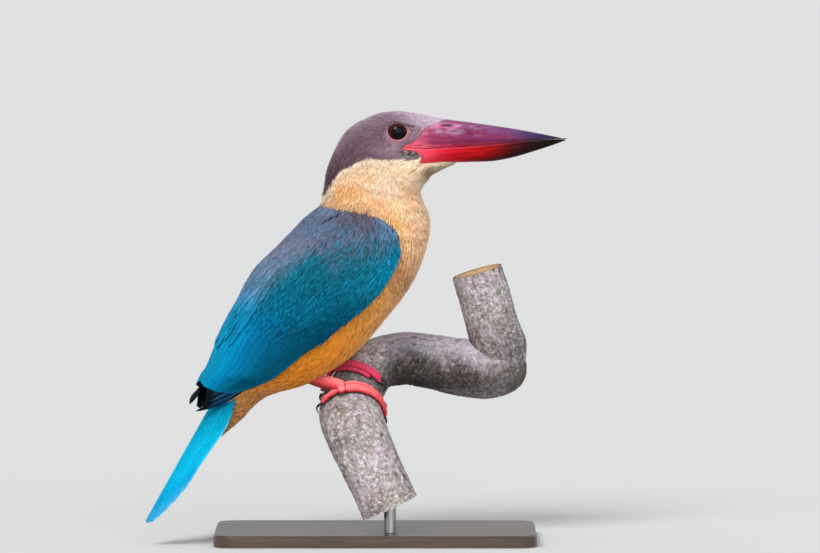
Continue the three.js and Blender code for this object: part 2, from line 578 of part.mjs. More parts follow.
add("head", head, "cap");
add("bill_upper", billHalf(true), "bill");
add("bill_lower", billHalf(false), "bill2");
add("eye_right", eyeBall(EYE.radius, -1), "eye");
add("eye_left", eyeBall(EYE.radius, 1), "eye");
add("neck", lengthOf("neck"), "buff");
add("breast", breast, "buff");
add("trunk", trunk, "orange");
add("undertail", undertail, "orange");
add("wing_right", wingRight, "wing");
add("wing_left", wingLeft, "wing");
add("primaries_right", primariesRight, "primary");
add("primaries_left", primariesLeft, "primary");
add("tail", tail, "tail");
for (const [side, f] of [["right", rightFoot], ["left", leftFoot]]) {
  add(`leg_${side}`, f.leg, "foot");
  for (const [name, m, skin] of f.parts) add(name, m, skin);
}

// ---------------------------------------------------------------- stand
{
  const { x0, x1, half, thick, corner: c, bevel } = BASE;
  const s = new THREE.Shape();
  const [ax, bx, ay, by] = [x0 + bevel, x1 - bevel, -half + bevel, half - bevel];
  s.moveTo(ax + c, ay);
  s.lineTo(bx - c, ay);
  s.absarc(bx - c, ay + c, c, -Math.PI / 2, 0);
  s.lineTo(bx, by - c);
  s.absarc(bx - c, by - c, c, 0, Math.PI / 2);
  s.lineTo(ax + c, by);
  s.absarc(ax + c, by - c, c, Math.PI / 2, Math.PI);
  s.lineTo(ax, ay + c);
  s.absarc(ax + c, ay + c, c, Math.PI, 1.5 * Math.PI);
  const g = new THREE.ExtrudeGeometry(s, { depth: thick - bevel, bevelEnabled: true, bevelThickness: bevel, bevelSize: bevel, bevelOffset: 0, bevelSegments: 1, curveSegments: 4 });
  // the bevel at the underside is cut off, so the base rests on its full face
  const plate = fromGeometry(g);
  const below = fromGeometry(new THREE.BoxGeometry(400, 300, 20), new THREE.Matrix4().makeTranslation(0, 0, -10));
  add("stand_base", plate.subtract(below), "base");
  const foot = axisPoint(0);
  const rod = fromGeometry(new THREE.CylinderGeometry(ROD_R, ROD_R, 60, 20), new THREE.Matrix4().makeTranslation(foot.x, foot.y, thick + GAP + 30).multiply(new THREE.Matrix4().makeRotationX(Math.PI / 2)));
  const t = branchTangent(0);
  const up = new THREE.Vector3(0, 1, 0).addScaledVector(t, -t.y).normalize();
  const cut = fromGeometry(new THREE.BoxGeometry(200, 200, 100), new THREE.Matrix4().makeBasis(up, new THREE.Vector3().crossVectors(t, up), t).setPosition(foot.clone().addScaledVector(t, 50 - GAP)));
  add("stand_rod", largest(rod.subtract(cut)), "rod");
}

export default group;
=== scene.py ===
"""Looks of the stork-billed kingfisher: skin, coat, bill, eyes, feet, perch and stand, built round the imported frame."""
import math

import bpy
import numpy as np
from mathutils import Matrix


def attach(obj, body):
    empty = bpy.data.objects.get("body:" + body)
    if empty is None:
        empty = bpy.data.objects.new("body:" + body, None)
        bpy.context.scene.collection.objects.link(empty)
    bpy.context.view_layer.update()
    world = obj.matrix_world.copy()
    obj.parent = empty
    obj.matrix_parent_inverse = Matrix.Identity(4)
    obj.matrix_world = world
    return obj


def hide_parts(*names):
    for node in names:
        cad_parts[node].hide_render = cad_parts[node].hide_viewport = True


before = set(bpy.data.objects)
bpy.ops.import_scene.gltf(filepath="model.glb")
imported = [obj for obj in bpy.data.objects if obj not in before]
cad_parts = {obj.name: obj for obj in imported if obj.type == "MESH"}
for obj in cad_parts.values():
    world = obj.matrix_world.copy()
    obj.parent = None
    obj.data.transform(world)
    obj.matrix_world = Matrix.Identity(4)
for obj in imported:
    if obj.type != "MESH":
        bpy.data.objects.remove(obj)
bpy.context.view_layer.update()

# ---------------------------------------------------------------- the body's shape, in millimetres
CENTRE_X = 0.23
YAW = math.radians(18)
PIVOT_X = -9.6
HEAD_Y = 6.6
EYE = dict(x=23.6, z=237.3, radius=6.4, side=10.5)

# dorsal x, z; ventral x, z; half width; turn; level of the widest point; squareness
STATIONS = np.array([
    [56.0, 242.9, 57.6, 218.2, 8.6, 0, 0.5, 2.2],      # 0 chin
    [48.4, 245.6, 51.9, 215.8, 11.2, 0, 0.52, 2.2],    # 1 forehead
    [25.2, 249.4, 44.4, 211.9, 15.6, 0, 0.55, 2.25],   # 2 eye
    [9.0, 246.8, 41.8, 208.7, 18.2, 0, 0.56, 2.3],     # 3 crown
    [-6.7, 237.2, 39.4, 206.0, 19.2, 0, 0.54, 2.25],   # 4 occiput
    [-17.1, 216.8, 37.7, 202.1, 19.8, 0.15, 0.5, 2.2], # 5 nape
    [-20.4, 200.1, 38.9, 196.7, 22, 0.6, 0.48, 2.2],   # 6 neck
    [-29.6, 185.6, 41.8, 184.3, 27.5, 1, 0.48, 2.25],  # 7 shoulder
    [-41.0, 170.8, 38.2, 166.9, 32, 1, 0.48, 2.35],    # 8 mantle
    [-53.6, 158.3, 30.2, 148.4, 33.5, 1, 0.48, 2.35],  # 9 breast
    [-64.2, 140.2, 16.2, 130.0, 33.5, 1, 0.48, 2.35],  # 10 flank
    [-75.1, 120.2, -3.6, 107.8, 31, 1, 0.48, 2.3],     # 11 belly
    [-82.5, 103.0, -28.1, 92.3, 25.5, 1, 0.46, 2.2],   # 12 thigh
    [-83.0, 89.2, -53.0, 84.6, 16.5, 1, 0.45, 2.1],    # 13 vent
    [-80.0, 74.5, -67.0, 71.4, 8.5, 1, 0.45, 2.0],     # 14 undertail
    [-78.0, 66.2, -74.4, 65.2, 2.4, 1, 0.5, 2.0],      # 15 covert tip
])
WING_REAR = [
    [-89.6, 98.0, -55.0, 84.0, 20.5, 1, 0.45, 2.3],
    [-94.5, 87.5, -79.0, 77.0, 12.5, 1, 0.45, 2.2],
    [-98.6, 80.0, -93.0, 74.0, 4.5, 1, 0.45, 2.0],
]
WING_STAND, WING_RISE = 3.2, 3.0


def wing_stations():
    rows = []
    for i in range(6, 13):
        r = STATIONS[i].copy()
        length = math.hypot(r[2] - r[0], r[3] - r[1])
        full = {6: 0.3, 7: 0.5}.get(i, 1.0)
        dx, dz = (r[2] - r[0]) / length, (r[3] - r[1]) / length
        r[0] -= dx * WING_RISE * full
        r[1] -= dz * WING_RISE * full
        r[4] += WING_STAND * full
        r[5] = 1
        r[7] += 0.15
        rows.append(r)
    return np.array(rows + [np.array(r, float) for r in WING_REAR])


WING_STATIONS = wing_stations()


def spline(rows, s):
    rows = np.asarray(rows, float)
    s = np.asarray(s, float)
    last = len(rows) - 1
    i = np.clip(np.floor(s).astype(int), 0, last - 1)
    t = (s - i)[..., None]
    ext = np.vstack([2 * rows[0] - rows[1], rows, 2 * rows[-1] - rows[-2]])
    p0, p1, p2, p3 = ext[i], ext[i + 1], ext[i + 2], ext[i + 3]
    return 0.5 * (2 * p1 + (p2 - p0) * t + (2 * p0 - 5 * p1 + 4 * p2 - p3) * t ** 2 + (3 * p1 - p0 - 3 * p2 + p3) * t ** 3)


def section_point(rows, s, a, grow):
    """The body's outer shape at station s, a radians round from the dorsal line by the right side, grown by some mm."""
    s, a, grow = np.broadcast_arrays(np.asarray(s, float), np.asarray(a, float), np.asarray(grow, float))
    r = spline(rows, s)
    dx, dz, vx, vz, w = r[..., 0], r[..., 1], r[..., 2], r[..., 3], r[..., 4]
    turn, mid, n = np.clip(r[..., 5], 0, 1), r[..., 6], r[..., 7]
    length = np.hypot(vx - dx, vz - dz) + 1e-9
    ux, uz = (vx - dx) / length, (vz - dz) / length
    tan = math.tan(YAW)
    depth = lambda x: HEAD_Y * (1 - turn) + turn * tan * (x - PIVOT_X)
    Dx, Dz, Vx, Vz = dx - ux * grow, dz - uz * grow, vx + ux * grow, vz + uz * grow
    D = np.stack([Dx, depth(Dx), Dz], -1)
    V = np.stack([Vx, depth(Vx), Vz], -1)
    yaw = YAW * turn
    side = np.stack([-np.sin(yaw), np.cos(yaw), np.zeros_like(yaw)], -1)
    C = D + (V - D) * mid[..., None]
    ca, sa = np.cos(a), np.sin(a)
    c = np.sign(ca) * np.abs(ca) ** (2 / n)
    q = np.sign(sa) * np.abs(sa) ** (2 / n)
    arm = np.where((c > 0)[..., None], (D - C) * c[..., None], (V - C) * (-c)[..., None])
    return C + arm - side * (q * (w + grow))[..., None]


def unit(v):
    return v / (np.linalg.norm(v, axis=-1, keepdims=True) + 1e-12)


class Surface:
    """A chart of s and a over the body, with heights above the skin."""

    def __init__(self, rows, depth):
        self.rows, self.depth = rows, depth

    def at(self, s, a, h):
        return section_point(self.rows, s, a, h - self.depth(s, a))

    def frame(self, s, a, h):
        e = 2e-3
        p = self.at(s, a, h)
        ps = (self.at(s + e, a, h) - self.at(s - e, a, h)) / (2 * e)
        pa = (self.at(s, a + e, h) - self.at(s, a - e, h)) / (2 * e)
        n = unit(np.cross(ps, pa))
        return p, ps, pa, n

    def step(self, s, a, h, direction):
        """The chart's change for a move along a tangent vector."""
        _, ps, pa, n = self.frame(s, a, h)
        g11, g12, g22 = (ps * ps).sum(-1), (ps * pa).sum(-1), (pa * pa).sum(-1)
        b1, b2 = (direction * ps).sum(-1), (direction * pa).sum(-1)
        det = g11 * g22 - g12 * g12 + 1e-9
        return (b1 * g22 - b2 * g12) / det, (b2 * g11 - b1 * g12) / det


BILL = np.array([
    # x, culmen, mouth, lower edge, half width
    [24.0, 249.5, 229.0, 215.4, 16.8], [38.0, 247.0, 227.8, 216.4, 13.9], [52.5, 244.4, 228.3, 219.0, 11.0],
    [66.0, 242.6, 229.0, 219.6, 8.8], [79.5, 240.7, 230.1, 220.2, 7.0], [92.0, 238.8, 231.3, 222.6, 5.5],
    [104.0, 236.6, 232.3, 226.2, 3.9], [113.5, 234.7, 232.9, 229.3, 2.5], [119.5, 233.4, 232.9, 231.5, 1.2],
])
# closed outlines in the level side view (x, z); a left-side point is judged by its mirror on the right
WING_EDGE = [(-25.0, 195.5), (-12.5, 193.2), (4.0, 191.3), (15.5, 188.0), (23.0, 182.6), (26.6, 176.0), (26.4, 168.0),
             (23.6, 159.4), (17.2, 147.6), (5.0, 136.0), (-12.5, 122.4), (-27.0, 111.2), (-40.0, 101.2), (-54.5, 93.2),
             (-67.5, 87.2), (-79.0, 80.2), (-92.5, 72.4)]
WING_AREA = WING_EDGE + [(-112, 62), (-140, 90), (-60, 215), (-30, 215)]
FACE_EDGE = [(52.5, 244.6), (45.6, 242.4), (39.6, 240.0), (36.8, 235.6), (32.6, 231.6), (26.4, 229.3), (26.0, 227.6),
             (34.0, 226.0), (38.4, 223.0), (36.8, 219.4), (35.8, 215.4), (42.6, 216.6), (48.6, 217.8), (54.4, 218.6),
             (62.0, 218.8)]
BILL_AREA = FACE_EDGE + [(140, 218.8), (140, 262), (52.5, 262)]
CAP_AREA = [(70, 226), (42.6, 221.2), (35.7, 221.4), (19.5, 221.4), (7.9, 221.4), (2.1, 220.2), (-3.7, 217.9),
            (-8.3, 216.2), (-10.6, 213.8), (-13.5, 209.8), (-16.4, 205.2), (-18.8, 200.4), (-23.0, 198.6), (-60, 197),
            (-60, 280), (80, 280)]

# ---------------------------------------------------------------- numbers


def smooth(lo, hi, x):
    t = np.clip((np.asarray(x, float) - lo) / (hi - lo), 0, 1)
    return t * t * (3 - 2 * t)


def lattice(ix, iy, iz, seed):
    m = np.int64(0xFFFFFFFF)
    h = (ix * np.int64(374761393) + iy * np.int64(668265263) + iz * np.int64(2147483629) + np.int64(seed * 1274126177)) & m
    h = ((h ^ (h >> 13)) * np.int64(1274126177)) & m
    h = h ^ (h >> 16)
    h = (h * np.int64(2246822519)) & m
    h = h ^ (h >> 15)
    return h / 4294967295.0


def noise(p, size, seed=0):
    """Smooth noise from 0 to 1 with lumps about `size` across."""
    q = np.asarray(p, float) / size + 71.3
    i = np.floor(q).astype(np.int64)
    f = q - i
    f = f * f * (3 - 2 * f)
    out = 0
    for dx in (0, 1):
        for dy in (0, 1):
            for dz in (0, 1):
                w = (f[..., 0] if dx else 1 - f[..., 0]) * (f[..., 1] if dy else 1 - f[..., 1]) * (f[..., 2] if dz else 1 - f[..., 2])
                out = out + w * lattice(i[..., 0] + dx, i[..., 1] + dy, i[..., 2] + dz, seed)
    return out


def fbm(p, size, octaves, seed=0):
    total, weight, out = 0.0, 1.0, 0
    for k in range(octaves):
        out = out + weight * noise(p, size / 2 ** k, seed + 17 * k)
        total += weight
        weight *= 0.5
    return out / total


def outline_distance(area, x, z):
    """Distance to a closed outline, positive inside it."""
    pts = np.asarray(area, float)
    x, z = np.asarray(x, float), np.asarray(z, float)
    best = np.full(x.shape, 1e9)
    inside = np.zeros(x.shape, bool)
    for (ax, az), (bx, bz) in zip(pts, np.roll(pts, -1, 0)):
        dx, dz = bx - ax, bz - az
        t = np.clip(((x - ax) * dx + (z - az) * dz) / (dx * dx + dz * dz + 1e-12), 0, 1)
        best = np.minimum(best, np.hypot(x - ax - t * dx, z - az - t * dz))
        if abs(dz) > 1e-12:
            cross = ((az > z) != (bz > z)) & (x < (bx - ax) * (z - az) / dz + ax)
            inside ^= cross
    return np.where(inside, best, -best)


def rgb(text):
    c = np.array([int(text[i:i + 2], 16) for i in (0, 2, 4)]) / 255.0
    return np.where(c <= 0.04045, c / 12.92, ((c + 0.055) / 1.055) ** 2.4)


def ramp(x, stops):
    """Colours between (position, colour) stops."""
    xs = [s[0] for s in stops]
    cs = np.array([rgb(s[1]) for s in stops])
    return np.stack([np.interp(x, xs, cs[:, k]) for k in range(3)], -1)


def mix(a, b, t):
    t = np.asarray(t, float)[..., None]
    return a * (1 - t) + b * t


# ---------------------------------------------------------------- the skin's depth and the surfaces


def skin_depth(s, a):
    return np.interp(s, [0, 1, 2, 3, 5, 6, 8, 12, 13.5, 15], [0.5, 0.7, 0.85, 1.0, 1.3, 1.7, 2.1, 2.1, 1.5, 0.6]) + 0 * a


BODY = Surface(STATIONS, skin_depth)
WING = Surface(WING_STATIONS, lambda s, a: 2.5 + 0 * s + 0 * a)


def side_view(s, a, rows=STATIONS):
    """x and z of the right-side twin of a chart point."""
    p = section_point(rows, s, np.abs(a), 0.0)
    return p[..., 0], p[..., 2]


LINE_S = np.linspace(0, 15, 301)
_side = section_point(STATIONS, LINE_S, np.full(301, 1.2), 0)
_arc = np.concatenate([[0], np.cumsum(np.linalg.norm(np.diff(_side, axis=0), axis=-1))])
BODY_V = _arc / _arc[-1]


def unwrap(s, a):
    """Place of a chart point on the skin's own unwrap."""
    u = 0.5 + 0.485 * (np.mod(a + math.pi, 2 * math.pi) - math.pi) / math.pi
    return np.stack([u, 0.01 + 0.97 * np.interp(s, LINE_S, BODY_V)], -1)


# ---------------------------------------------------------------- meshes


def flat(v):
    return np.ascontiguousarray(v).ravel()


def make_object(name, verts, faces, material, colour=None, uv=None, vane=None, shade=True, replaces=(), index=None):
    """A mesh in the frame from corners in millimetres. faces is one array or several, of triangles or quads. uv is given per corner point."""
    faces = faces if isinstance(faces, list) else [faces]
    verts = np.asarray(verts, float).reshape(-1, 3)
    me = bpy.data.meshes.new(name)
    me.vertices.add(len(verts))
    co = (verts - [CENTRE_X, 0, 0]) / 1000.0
    me.vertices.foreach_set("co", flat(co.astype(np.float32)))
    loops = np.concatenate([f.ravel() for f in faces]).astype(np.int32)
    counts = np.concatenate([np.full(len(f), f.shape[1]) for f in faces])
    starts = np.concatenate([[0], np.cumsum(counts)[:-1]]).astype(np.int32)
    me.loops.add(len(loops))
    me.loops.foreach_set("vertex_index", loops)
    me.polygons.add(len(counts))
    me.polygons.foreach_set("loop_start", starts)
    me.update(calc_edges=True)
    if colour is not None:
        rgba = np.concatenate([np.clip(np.asarray(colour, float).reshape(-1, 3), 0, 1), np.ones((len(verts), 1))], 1)
        me.color_attributes.new("Col", "FLOAT_COLOR", "POINT").data.foreach_set("color", flat(rgba.astype(np.float32)))
    if vane is not None:
        me.attributes.new("vane", "FLOAT_VECTOR", "POINT").data.foreach_set("vector", flat(np.asarray(vane, np.float32).reshape(-1, 3)))
    if uv is not None:
        layer = me.uv_layers.new(name="OFBake")
        layer.data.foreach_set("uv", flat(np.asarray(uv, np.float32).reshape(-1, 2)[loops]))
    materials = material if isinstance(material, list) else [material]
    for m in materials:
        me.materials.append(m)
    if index is not None:
        me.polygons.foreach_set("material_index", np.asarray(index, np.int32))
    me.polygons.foreach_set("use_smooth", np.full(len(counts), bool(shade)))
    me.validate(clean_customdata=False)
    me.update()
    ob = bpy.data.objects.new(name, me)
    bpy.context.scene.collection.objects.link(ob)
    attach(ob, "root")
    if replaces:
        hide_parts(*replaces)
    return ob


def grid_faces(rows, cols, closed=True, base=0, flip=False):
    """Quads between rings of `cols` points."""
    i = np.arange(rows - 1)[:, None]
    j = np.arange(cols if closed else cols - 1)[None, :]
    k = (j + 1) % cols
    f = np.stack([i * cols + j, (i + 1) * cols + j, (i + 1) * cols + k, i * cols + k], -1).reshape(-1, 4) + base
    return f[:, ::-1] if flip else f


def fan(centre, ring, flip=False):
    ring = np.asarray(ring)
    f = np.stack([np.full(len(ring), centre), ring, np.roll(ring, -1)], -1)
    return f[:, ::-1] if flip else f


BACK_LINE = np.array([[170.0, -60.0], [174, -46.5], [178, -41.0], [182.4, -35.7], [187.2, -30.4], [191.4, -24.6], [194.3, -20.6], [197, -19.9], [203, -20.4], [208, -24.0]])


def settle(v):
    """Draws in what stands out behind the line of the nape and shoulders, seen from the side."""
    line = np.interp(v[:, 2], BACK_LINE[:, 0], BACK_LINE[:, 1])
    over = np.clip(line - v[:, 0], 0, None) * smooth(173.0, 179.0, v[:, 2]) * (1 - smooth(203.0, 208.0, v[:, 2]))
    out = v.copy()
    out[:, 0] += 0.8 * over
    return out


class Pile:
    """Collects closed pieces of one mesh."""

    def __init__(self):
        self.v, self.f3, self.f4, self.c, self.uv, self.vane, self.n = [], [], [], [], [], [], 0

    def add(self, verts, f3=None, f4=None, colour=None, uv=None, vane=None):
        verts = settle(np.asarray(verts, float).reshape(-1, 3))
        if f3 is not None and len(f3):
            self.f3.append(np.asarray(f3) + self.n)
        if f4 is not None and len(f4):
            self.f4.append(np.asarray(f4) + self.n)
        self.v.append(verts)
        self.c.append(np.broadcast_to(np.asarray(colour, float).reshape(-1, 3), verts.shape) if colour is not None else np.ones_like(verts))
        self.uv.append(np.asarray(uv, float).reshape(-1, 2) if uv is not None else np.zeros((len(verts), 2)))
        self.vane.append(np.asarray(vane, float).reshape(-1, 3) if vane is not None else np.zeros_like(verts))
        self.n += len(verts)

    def make(self, name, slot, material, replaces=(), shade=True):
        faces = [np.concatenate(x) for x in (self.f3, self.f4) if x]
        return make_object(name, np.concatenate(self.v), faces, material, np.concatenate(self.c), np.concatenate(self.uv), np.concatenate(self.vane), shade, replaces)


def tube(points, radii, sides, up=None, squash=1.0):
    """Rings round a line: (rings, sides, 3). squash flattens them along the frame's up."""
    points, radii = np.asarray(points, float), np.asarray(radii, float)
    t = unit(np.gradient(points, axis=0))
    u = np.array([0, 0, 1.0]) if up is None else np.asarray(up, float)
    rings, ups, outs = [], [], []
    for k in range(len(points)):
        u = u - t[k] * (u @ t[k])
        u = u / np.linalg.norm(u)
        o = np.cross(u, t[k])
        ups.append(u)
        outs.append(o)
    ups, outs = np.array(ups), np.array(outs)
    a = np.linspace(0, 2 * math.pi, sides, endpoint=False)
    rings = points[:, None] + radii[:, None, None] * (np.cos(a)[None, :, None] * ups[:, None] * squash + np.sin(a)[None, :, None] * outs[:, None])
    return rings, ups, outs, t


def closed_tube(rings):
    """Corners, triangles and quads of a tube closed at both ends."""
    m, n = rings.shape[:2]
    verts = np.concatenate([rings.reshape(-1, 3), rings[0].mean(0)[None], rings[-1].mean(0)[None]])
    f4 = grid_faces(m, n, True)
    first, lastr = np.arange(n), (m - 1) * n + np.arange(n)
    f3 = np.concatenate([fan(m * n, first), fan(m * n + 1, lastr, True)])
    return verts, f3, f4


def outward(verts, f3, f4):
    """Turns the faces of a closed shape so that they point out."""
    v = np.asarray(verts)
    tri = [f3] if f3 is not None and len(f3) else []
    if f4 is not None and len(f4):
        tri += [f4[:, [0, 1, 2]], f4[:, [0, 2, 3]]]
    t = np.concatenate(tri)
    volume = np.einsum("ij,ij->i", v[t[:, 0]], np.cross(v[t[:, 1]], v[t[:, 2]])).sum()
    if volume < 0:
        f3 = f3[:, ::-1] if f3 is not None else None
        f4 = f4[:, ::-1] if f4 is not None else None
    return f3, f4


# ---------------------------------------------------------------- materials


def material(name):
    m = bpy.data.materials.new(name)
    m.use_nodes = True
    nt = m.node_tree
    return m, nt, nt.nodes["Principled BSDF"]


class Nodes:
    """Short words for a material's nodes."""

    def __init__(self, nt):
        self.nt = nt

    def node(self, kind, **settings):
        n = self.nt.nodes.new(kind)
        for k, v in settings.items():
            setattr(n, k, v)
        return n

    def link(self, a, b):
        self.nt.links.new(a, b)

    def attribute(self, name, out="Color"):
        return self.node("ShaderNodeAttribute", attribute_name=name).outputs[out]

    def math(self, op, a, b=None, c=None, clamp=False):
        n = self.node("ShaderNodeMath", operation=op, use_clamp=clamp)
        for i, v in enumerate((a, b, c)):
            if v is None:
                continue
            if isinstance(v, (int, float)):
                n.inputs[i].default_value = v
            else:
                self.link(v, n.inputs[i])
        return n.outputs[0]

    def noise(self, vector, scale, detail=3.0, rough=0.5, out="Fac", distortion=0.0):
        n = self.node("ShaderNodeTexNoise")
        n.inputs["Scale"].default_value = scale
        n.inputs["Detail"].default_value = detail
        n.inputs["Roughness"].default_value = rough
        n.inputs["Distortion"].default_value = distortion
        if vector is not None:
            self.link(vector, n.inputs["Vector"])
        return n.outputs[out]

    def voronoi(self, vector, scale, feature="F1", out="Distance"):
        n = self.node("ShaderNodeTexVoronoi", feature=feature)
        n.inputs["Scale"].default_value = scale
        if vector is not None:
            self.link(vector, n.inputs["Vector"])
        return n.outputs[out]

    def coords(self, scale=(1, 1, 1), rotation=(0, 0, 0)):
        c = self.node("ShaderNodeTexCoord")
        m = self.node("ShaderNodeMapping")
        m.inputs["Scale"].default_value = scale
        m.inputs["Rotation"].default_value = rotation
        self.link(c.outputs["Object"], m.inputs["Vector"])
        return m.outputs[0]

    def vector(self, x, y, z):
        n = self.node("ShaderNodeCombineXYZ")
        for i, v in enumerate((x, y, z)):
            if isinstance(v, (int, float)):
                n.inputs[i].default_value = v
            else:
                self.link(v, n.inputs[i])
        return n.outputs[0]

    def split(self, vector):
        n = self.node("ShaderNodeSeparateXYZ")
        self.link(vector, n.inputs[0])
        return n.outputs

    def map(self, value, lo, hi, to_lo, to_hi, smooth_step=False):
        n = self.node("ShaderNodeMapRange")
        n.clamp = True
        if smooth_step:
            n.interpolation_type = "SMOOTHSTEP"
        self.link(value, n.inputs["Value"])
        for k, v in (("From Min", lo), ("From Max", hi), ("To Min", to_lo), ("To Max", to_hi)):
            n.inputs[k].default_value = v
        return n.outputs["Result"]

    def mix(self, factor, a, b, blend="MIX"):
        n = self.node("ShaderNodeMix", data_type="RGBA", blend_type=blend, clamp_result=False)
        for i, v in ((0, factor), (6, a), (7, b)):
            if isinstance(v, (int, float)):
                n.inputs[i].default_value = v
            elif isinstance(v, (tuple, list, np.ndarray)):
                n.inputs[i].default_value = (*[float(x) for x in v[:3]], 1.0)
            else:
                self.link(v, n.inputs[i])
        return n.outputs[2]

    def scale_colour(self, colour, factor):
        """colour times a number socket."""
        return self.mix(1.0, colour, self.vector(factor, factor, factor), "MULTIPLY")

    def bump(self, height, strength, distance, normal=None):
        n = self.node("ShaderNodeBump")
        n.inputs["Strength"].default_value = strength
        n.inputs["Distance"].default_value = distance
        self.link(height, n.inputs["Height"])
        if normal is not None:
            self.link(normal, n.inputs["Normal"])
        return n.outputs[0]


# ---------------------------------------------------------------- markings, for skin and coat alike
CREASE = [(22.0, 211.4), (28.5, 212.1), (33.0, 214.7), (35.6, 217.4)]


def body_colour(s, a):
    """The plumage's colour at chart points of the body."""
    x, z = side_view(s, a)
    p3 = section_point(STATIONS, s, a, 0.0)
    ven = np.abs(np.mod(a + math.pi, 2 * math.pi) - math.pi) / math.pi  # 0 back, 1 belly
    blot = fbm(p3, 9.0, 3, 5)
    fine = noise(p3, 2.6, 9)
    # warm underside, pale on the neck and deep orange on the belly and flanks
    side = ramp(s, [(0, "dccdb8"), (2.2, "ead6ba"), (3.5, "f4dabb"), (5, "f9d9b4"), (6.2, "fad2a0"), (7.2, "f7c78c"),
                    (8.3, "f6c186"), (9.6, "f8b25e"), (10.8, "f7a236"), (12, "f49a34"), (13.2, "d99a5c"), (15, "d49c66")])
    # in front the chin is darker grey-buff: painted shade on the underside of the chin
    front = ramp(s, [(0, "c2b29b"), (2, "bba88c"), (3.2, "d3bea6"), (4.5, "efd5bd"), (6, "f6d4b6"), (7.5, "f5cca6"),
                     (9, "f4c89e"), (10.2, "f6bd7e"), (11.2, "f6b060"), (12.2, "e89a4a"), (13.2, "d29658"), (15, "d09a66")])
    c = mix(side, front, smooth(0.62, 0.9, ven))
    # richer patches on the side of the neck
    patch = smooth(0.5, 0.68, blot) * smooth(4.4, 5.2, s) * (1 - smooth(7.2, 8.6, s)) * (1 - smooth(0.72, 0.9, ven))
    c = mix(c, rgb("eba860"), 0.5 * patch)
    c = mix(c, rgb("fbe6cc"), 0.4 * smooth(0.55, 0.75, 1 - blot) * smooth(3.5, 4.5, s) * (1 - smooth(7.5, 8.5, s)))
    # painted shade where the neck meets the top of the wing
    wing_shade = smooth(-7.0, -0.5, outline_distance(WING_AREA, x, z)) * smooth(5.0, 5.6, s) * (1 - smooth(8.6, 9.2, s)) * (1 - smooth(8.0, 18.0, x))
    c = mix(c, rgb("cda68c"), 0.6 * wing_shade)
    # pale rim of the cheek under the cap and behind it
    cap_d = outline_distance(CAP_AREA, x, z)
    c = mix(c, rgb("f7e4cf"), 0.55 * smooth(-6, -0.5, cap_d) * (s > 1.6))
    # warmer behind, paler in the middle of the neck, greyer at the nape's foot
    near = lambda cx, cz, rx, rz: np.exp(-((x - cx) / rx) ** 2 - ((z - cz) / rz) ** 2)
    c = mix(c, rgb("efa65a"), 0.6 * near(-3.0, 203.0, 9.0, 7.0) * (0.55 + 0.6 * blot))
    c = mix(c, rgb("fde9d6"), 0.6 * near(17.0, 204.0, 8.0, 8.0))
    c = mix(c, rgb("a58e88"), 0.6 * near(-17.0, 200.0, 4.0, 4.0))
    # painted highlight down the front of the breast, where it turns towards the light
    c = mix(c, rgb("fbd6ba"), 0.55 * near(34.0, 174.0, 6.0, 13.0))
    c = mix(c, rgb("a8704c"), 0.4 * near(27.0, 151.0, 7.0, 11.0))
    # painted shade in the hollow under the jaw, on the front of the throat
    c = mix(c, rgb("80604a"), 0.8 * near(41.0, 213.0, 4.0, 5.0) * smooth(0.6, 0.8, ven))
    c = mix(c, rgb("56464f"), smooth(0.5, 1.4, outline_distance(WING_AREA, x, z)) * smooth(5.2, 5.6, s) * (1 - smooth(9.0, 9.8, s)))
    # painted shade along a crease that runs back from the corner of the bill
    crease = np.full(np.shape(x), 99.0)
    for (ax, az), (bx, bz) in zip(CREASE[:-1], CREASE[1:]):
        t = np.clip(((x - ax) * (bx - ax) + (z - az) * (bz - az)) / ((bx - ax) ** 2 + (bz - az) ** 2), 0, 1)
        crease = np.minimum(crease, np.hypot(x - ax - t * (bx - ax), z - az - t * (bz - az)))
    c = mix(c, rgb("8a6440"), 0.6 * (1 - smooth(0.25, 0.9, crease)) * (s < 4))
    # rump: blue above the tail
    c = mix(c, rgb("2aa7d2"), smooth(11.0, 12.0, s) * (1 - smooth(0.3, 0.38, ven)))
    # cap
    # the top of the cap is painted paler: painted light where the crown faces the light
    top = 1 - smooth(0.05, 0.3, ven)
    cap = mix(rgb("7f6473"), rgb("9d8897"), top)
    cap = mix(cap, rgb("5a4147"), 0.92 * smooth(3.5, 5.5, s))
    cap = mix(cap, rgb("74605a"), 0.4 * smooth(5.3, 6.0, s))
    cap = mix(cap, rgb("ccbac9"), 0.9 * (1 - smooth(1.3, 2.7, s)) * smooth(0.6, 0.3, ven))
    cap = mix(cap, rgb("b29aaa"), 0.5 * np.exp(-((x - 20.0) / 9.0) ** 2 - ((z - 227.0) / 4.5) ** 2))
    lore = (1 - smooth(3.0, 6.5, np.hypot(x - 34.0, z - 236.5)))
    cap = mix(cap, rgb("97707c"), 0.7 * lore)
    corner = np.clip((x - 28.0) / 5.0, 0, 1)
    corner = np.hypot(x - 28.0 - 5.0 * corner, z - 241.9 + 1.1 * corner)
    cap = mix(cap, rgb("3a2630"), 0.75 * (1 - smooth(0.3, 0.85, corner)))
    gape = 1 - smooth(2.0, 5.0, np.hypot((x - 31.0) / 1.9, z - 225.0))
    cap = mix(cap, rgb("85807a"), 0.7 * gape)
    cap = mix(cap, rgb("26211f"), 0.85 * gape * smooth(0.56, 0.64, noise(p3, 1.3, 77)))
    cap = cap * (0.9 + 0.2 * fine)[..., None] * (0.92 + 0.16 * blot)[..., None]
    m = smooth(-0.7, 0.7, cap_d + 2.2 * (noise(p3, 2.2, 31) - 0.5))
    return mix(c * (0.93 + 0.14 * fine)[..., None], cap, m), m


# ---------------------------------------------------------------- skin


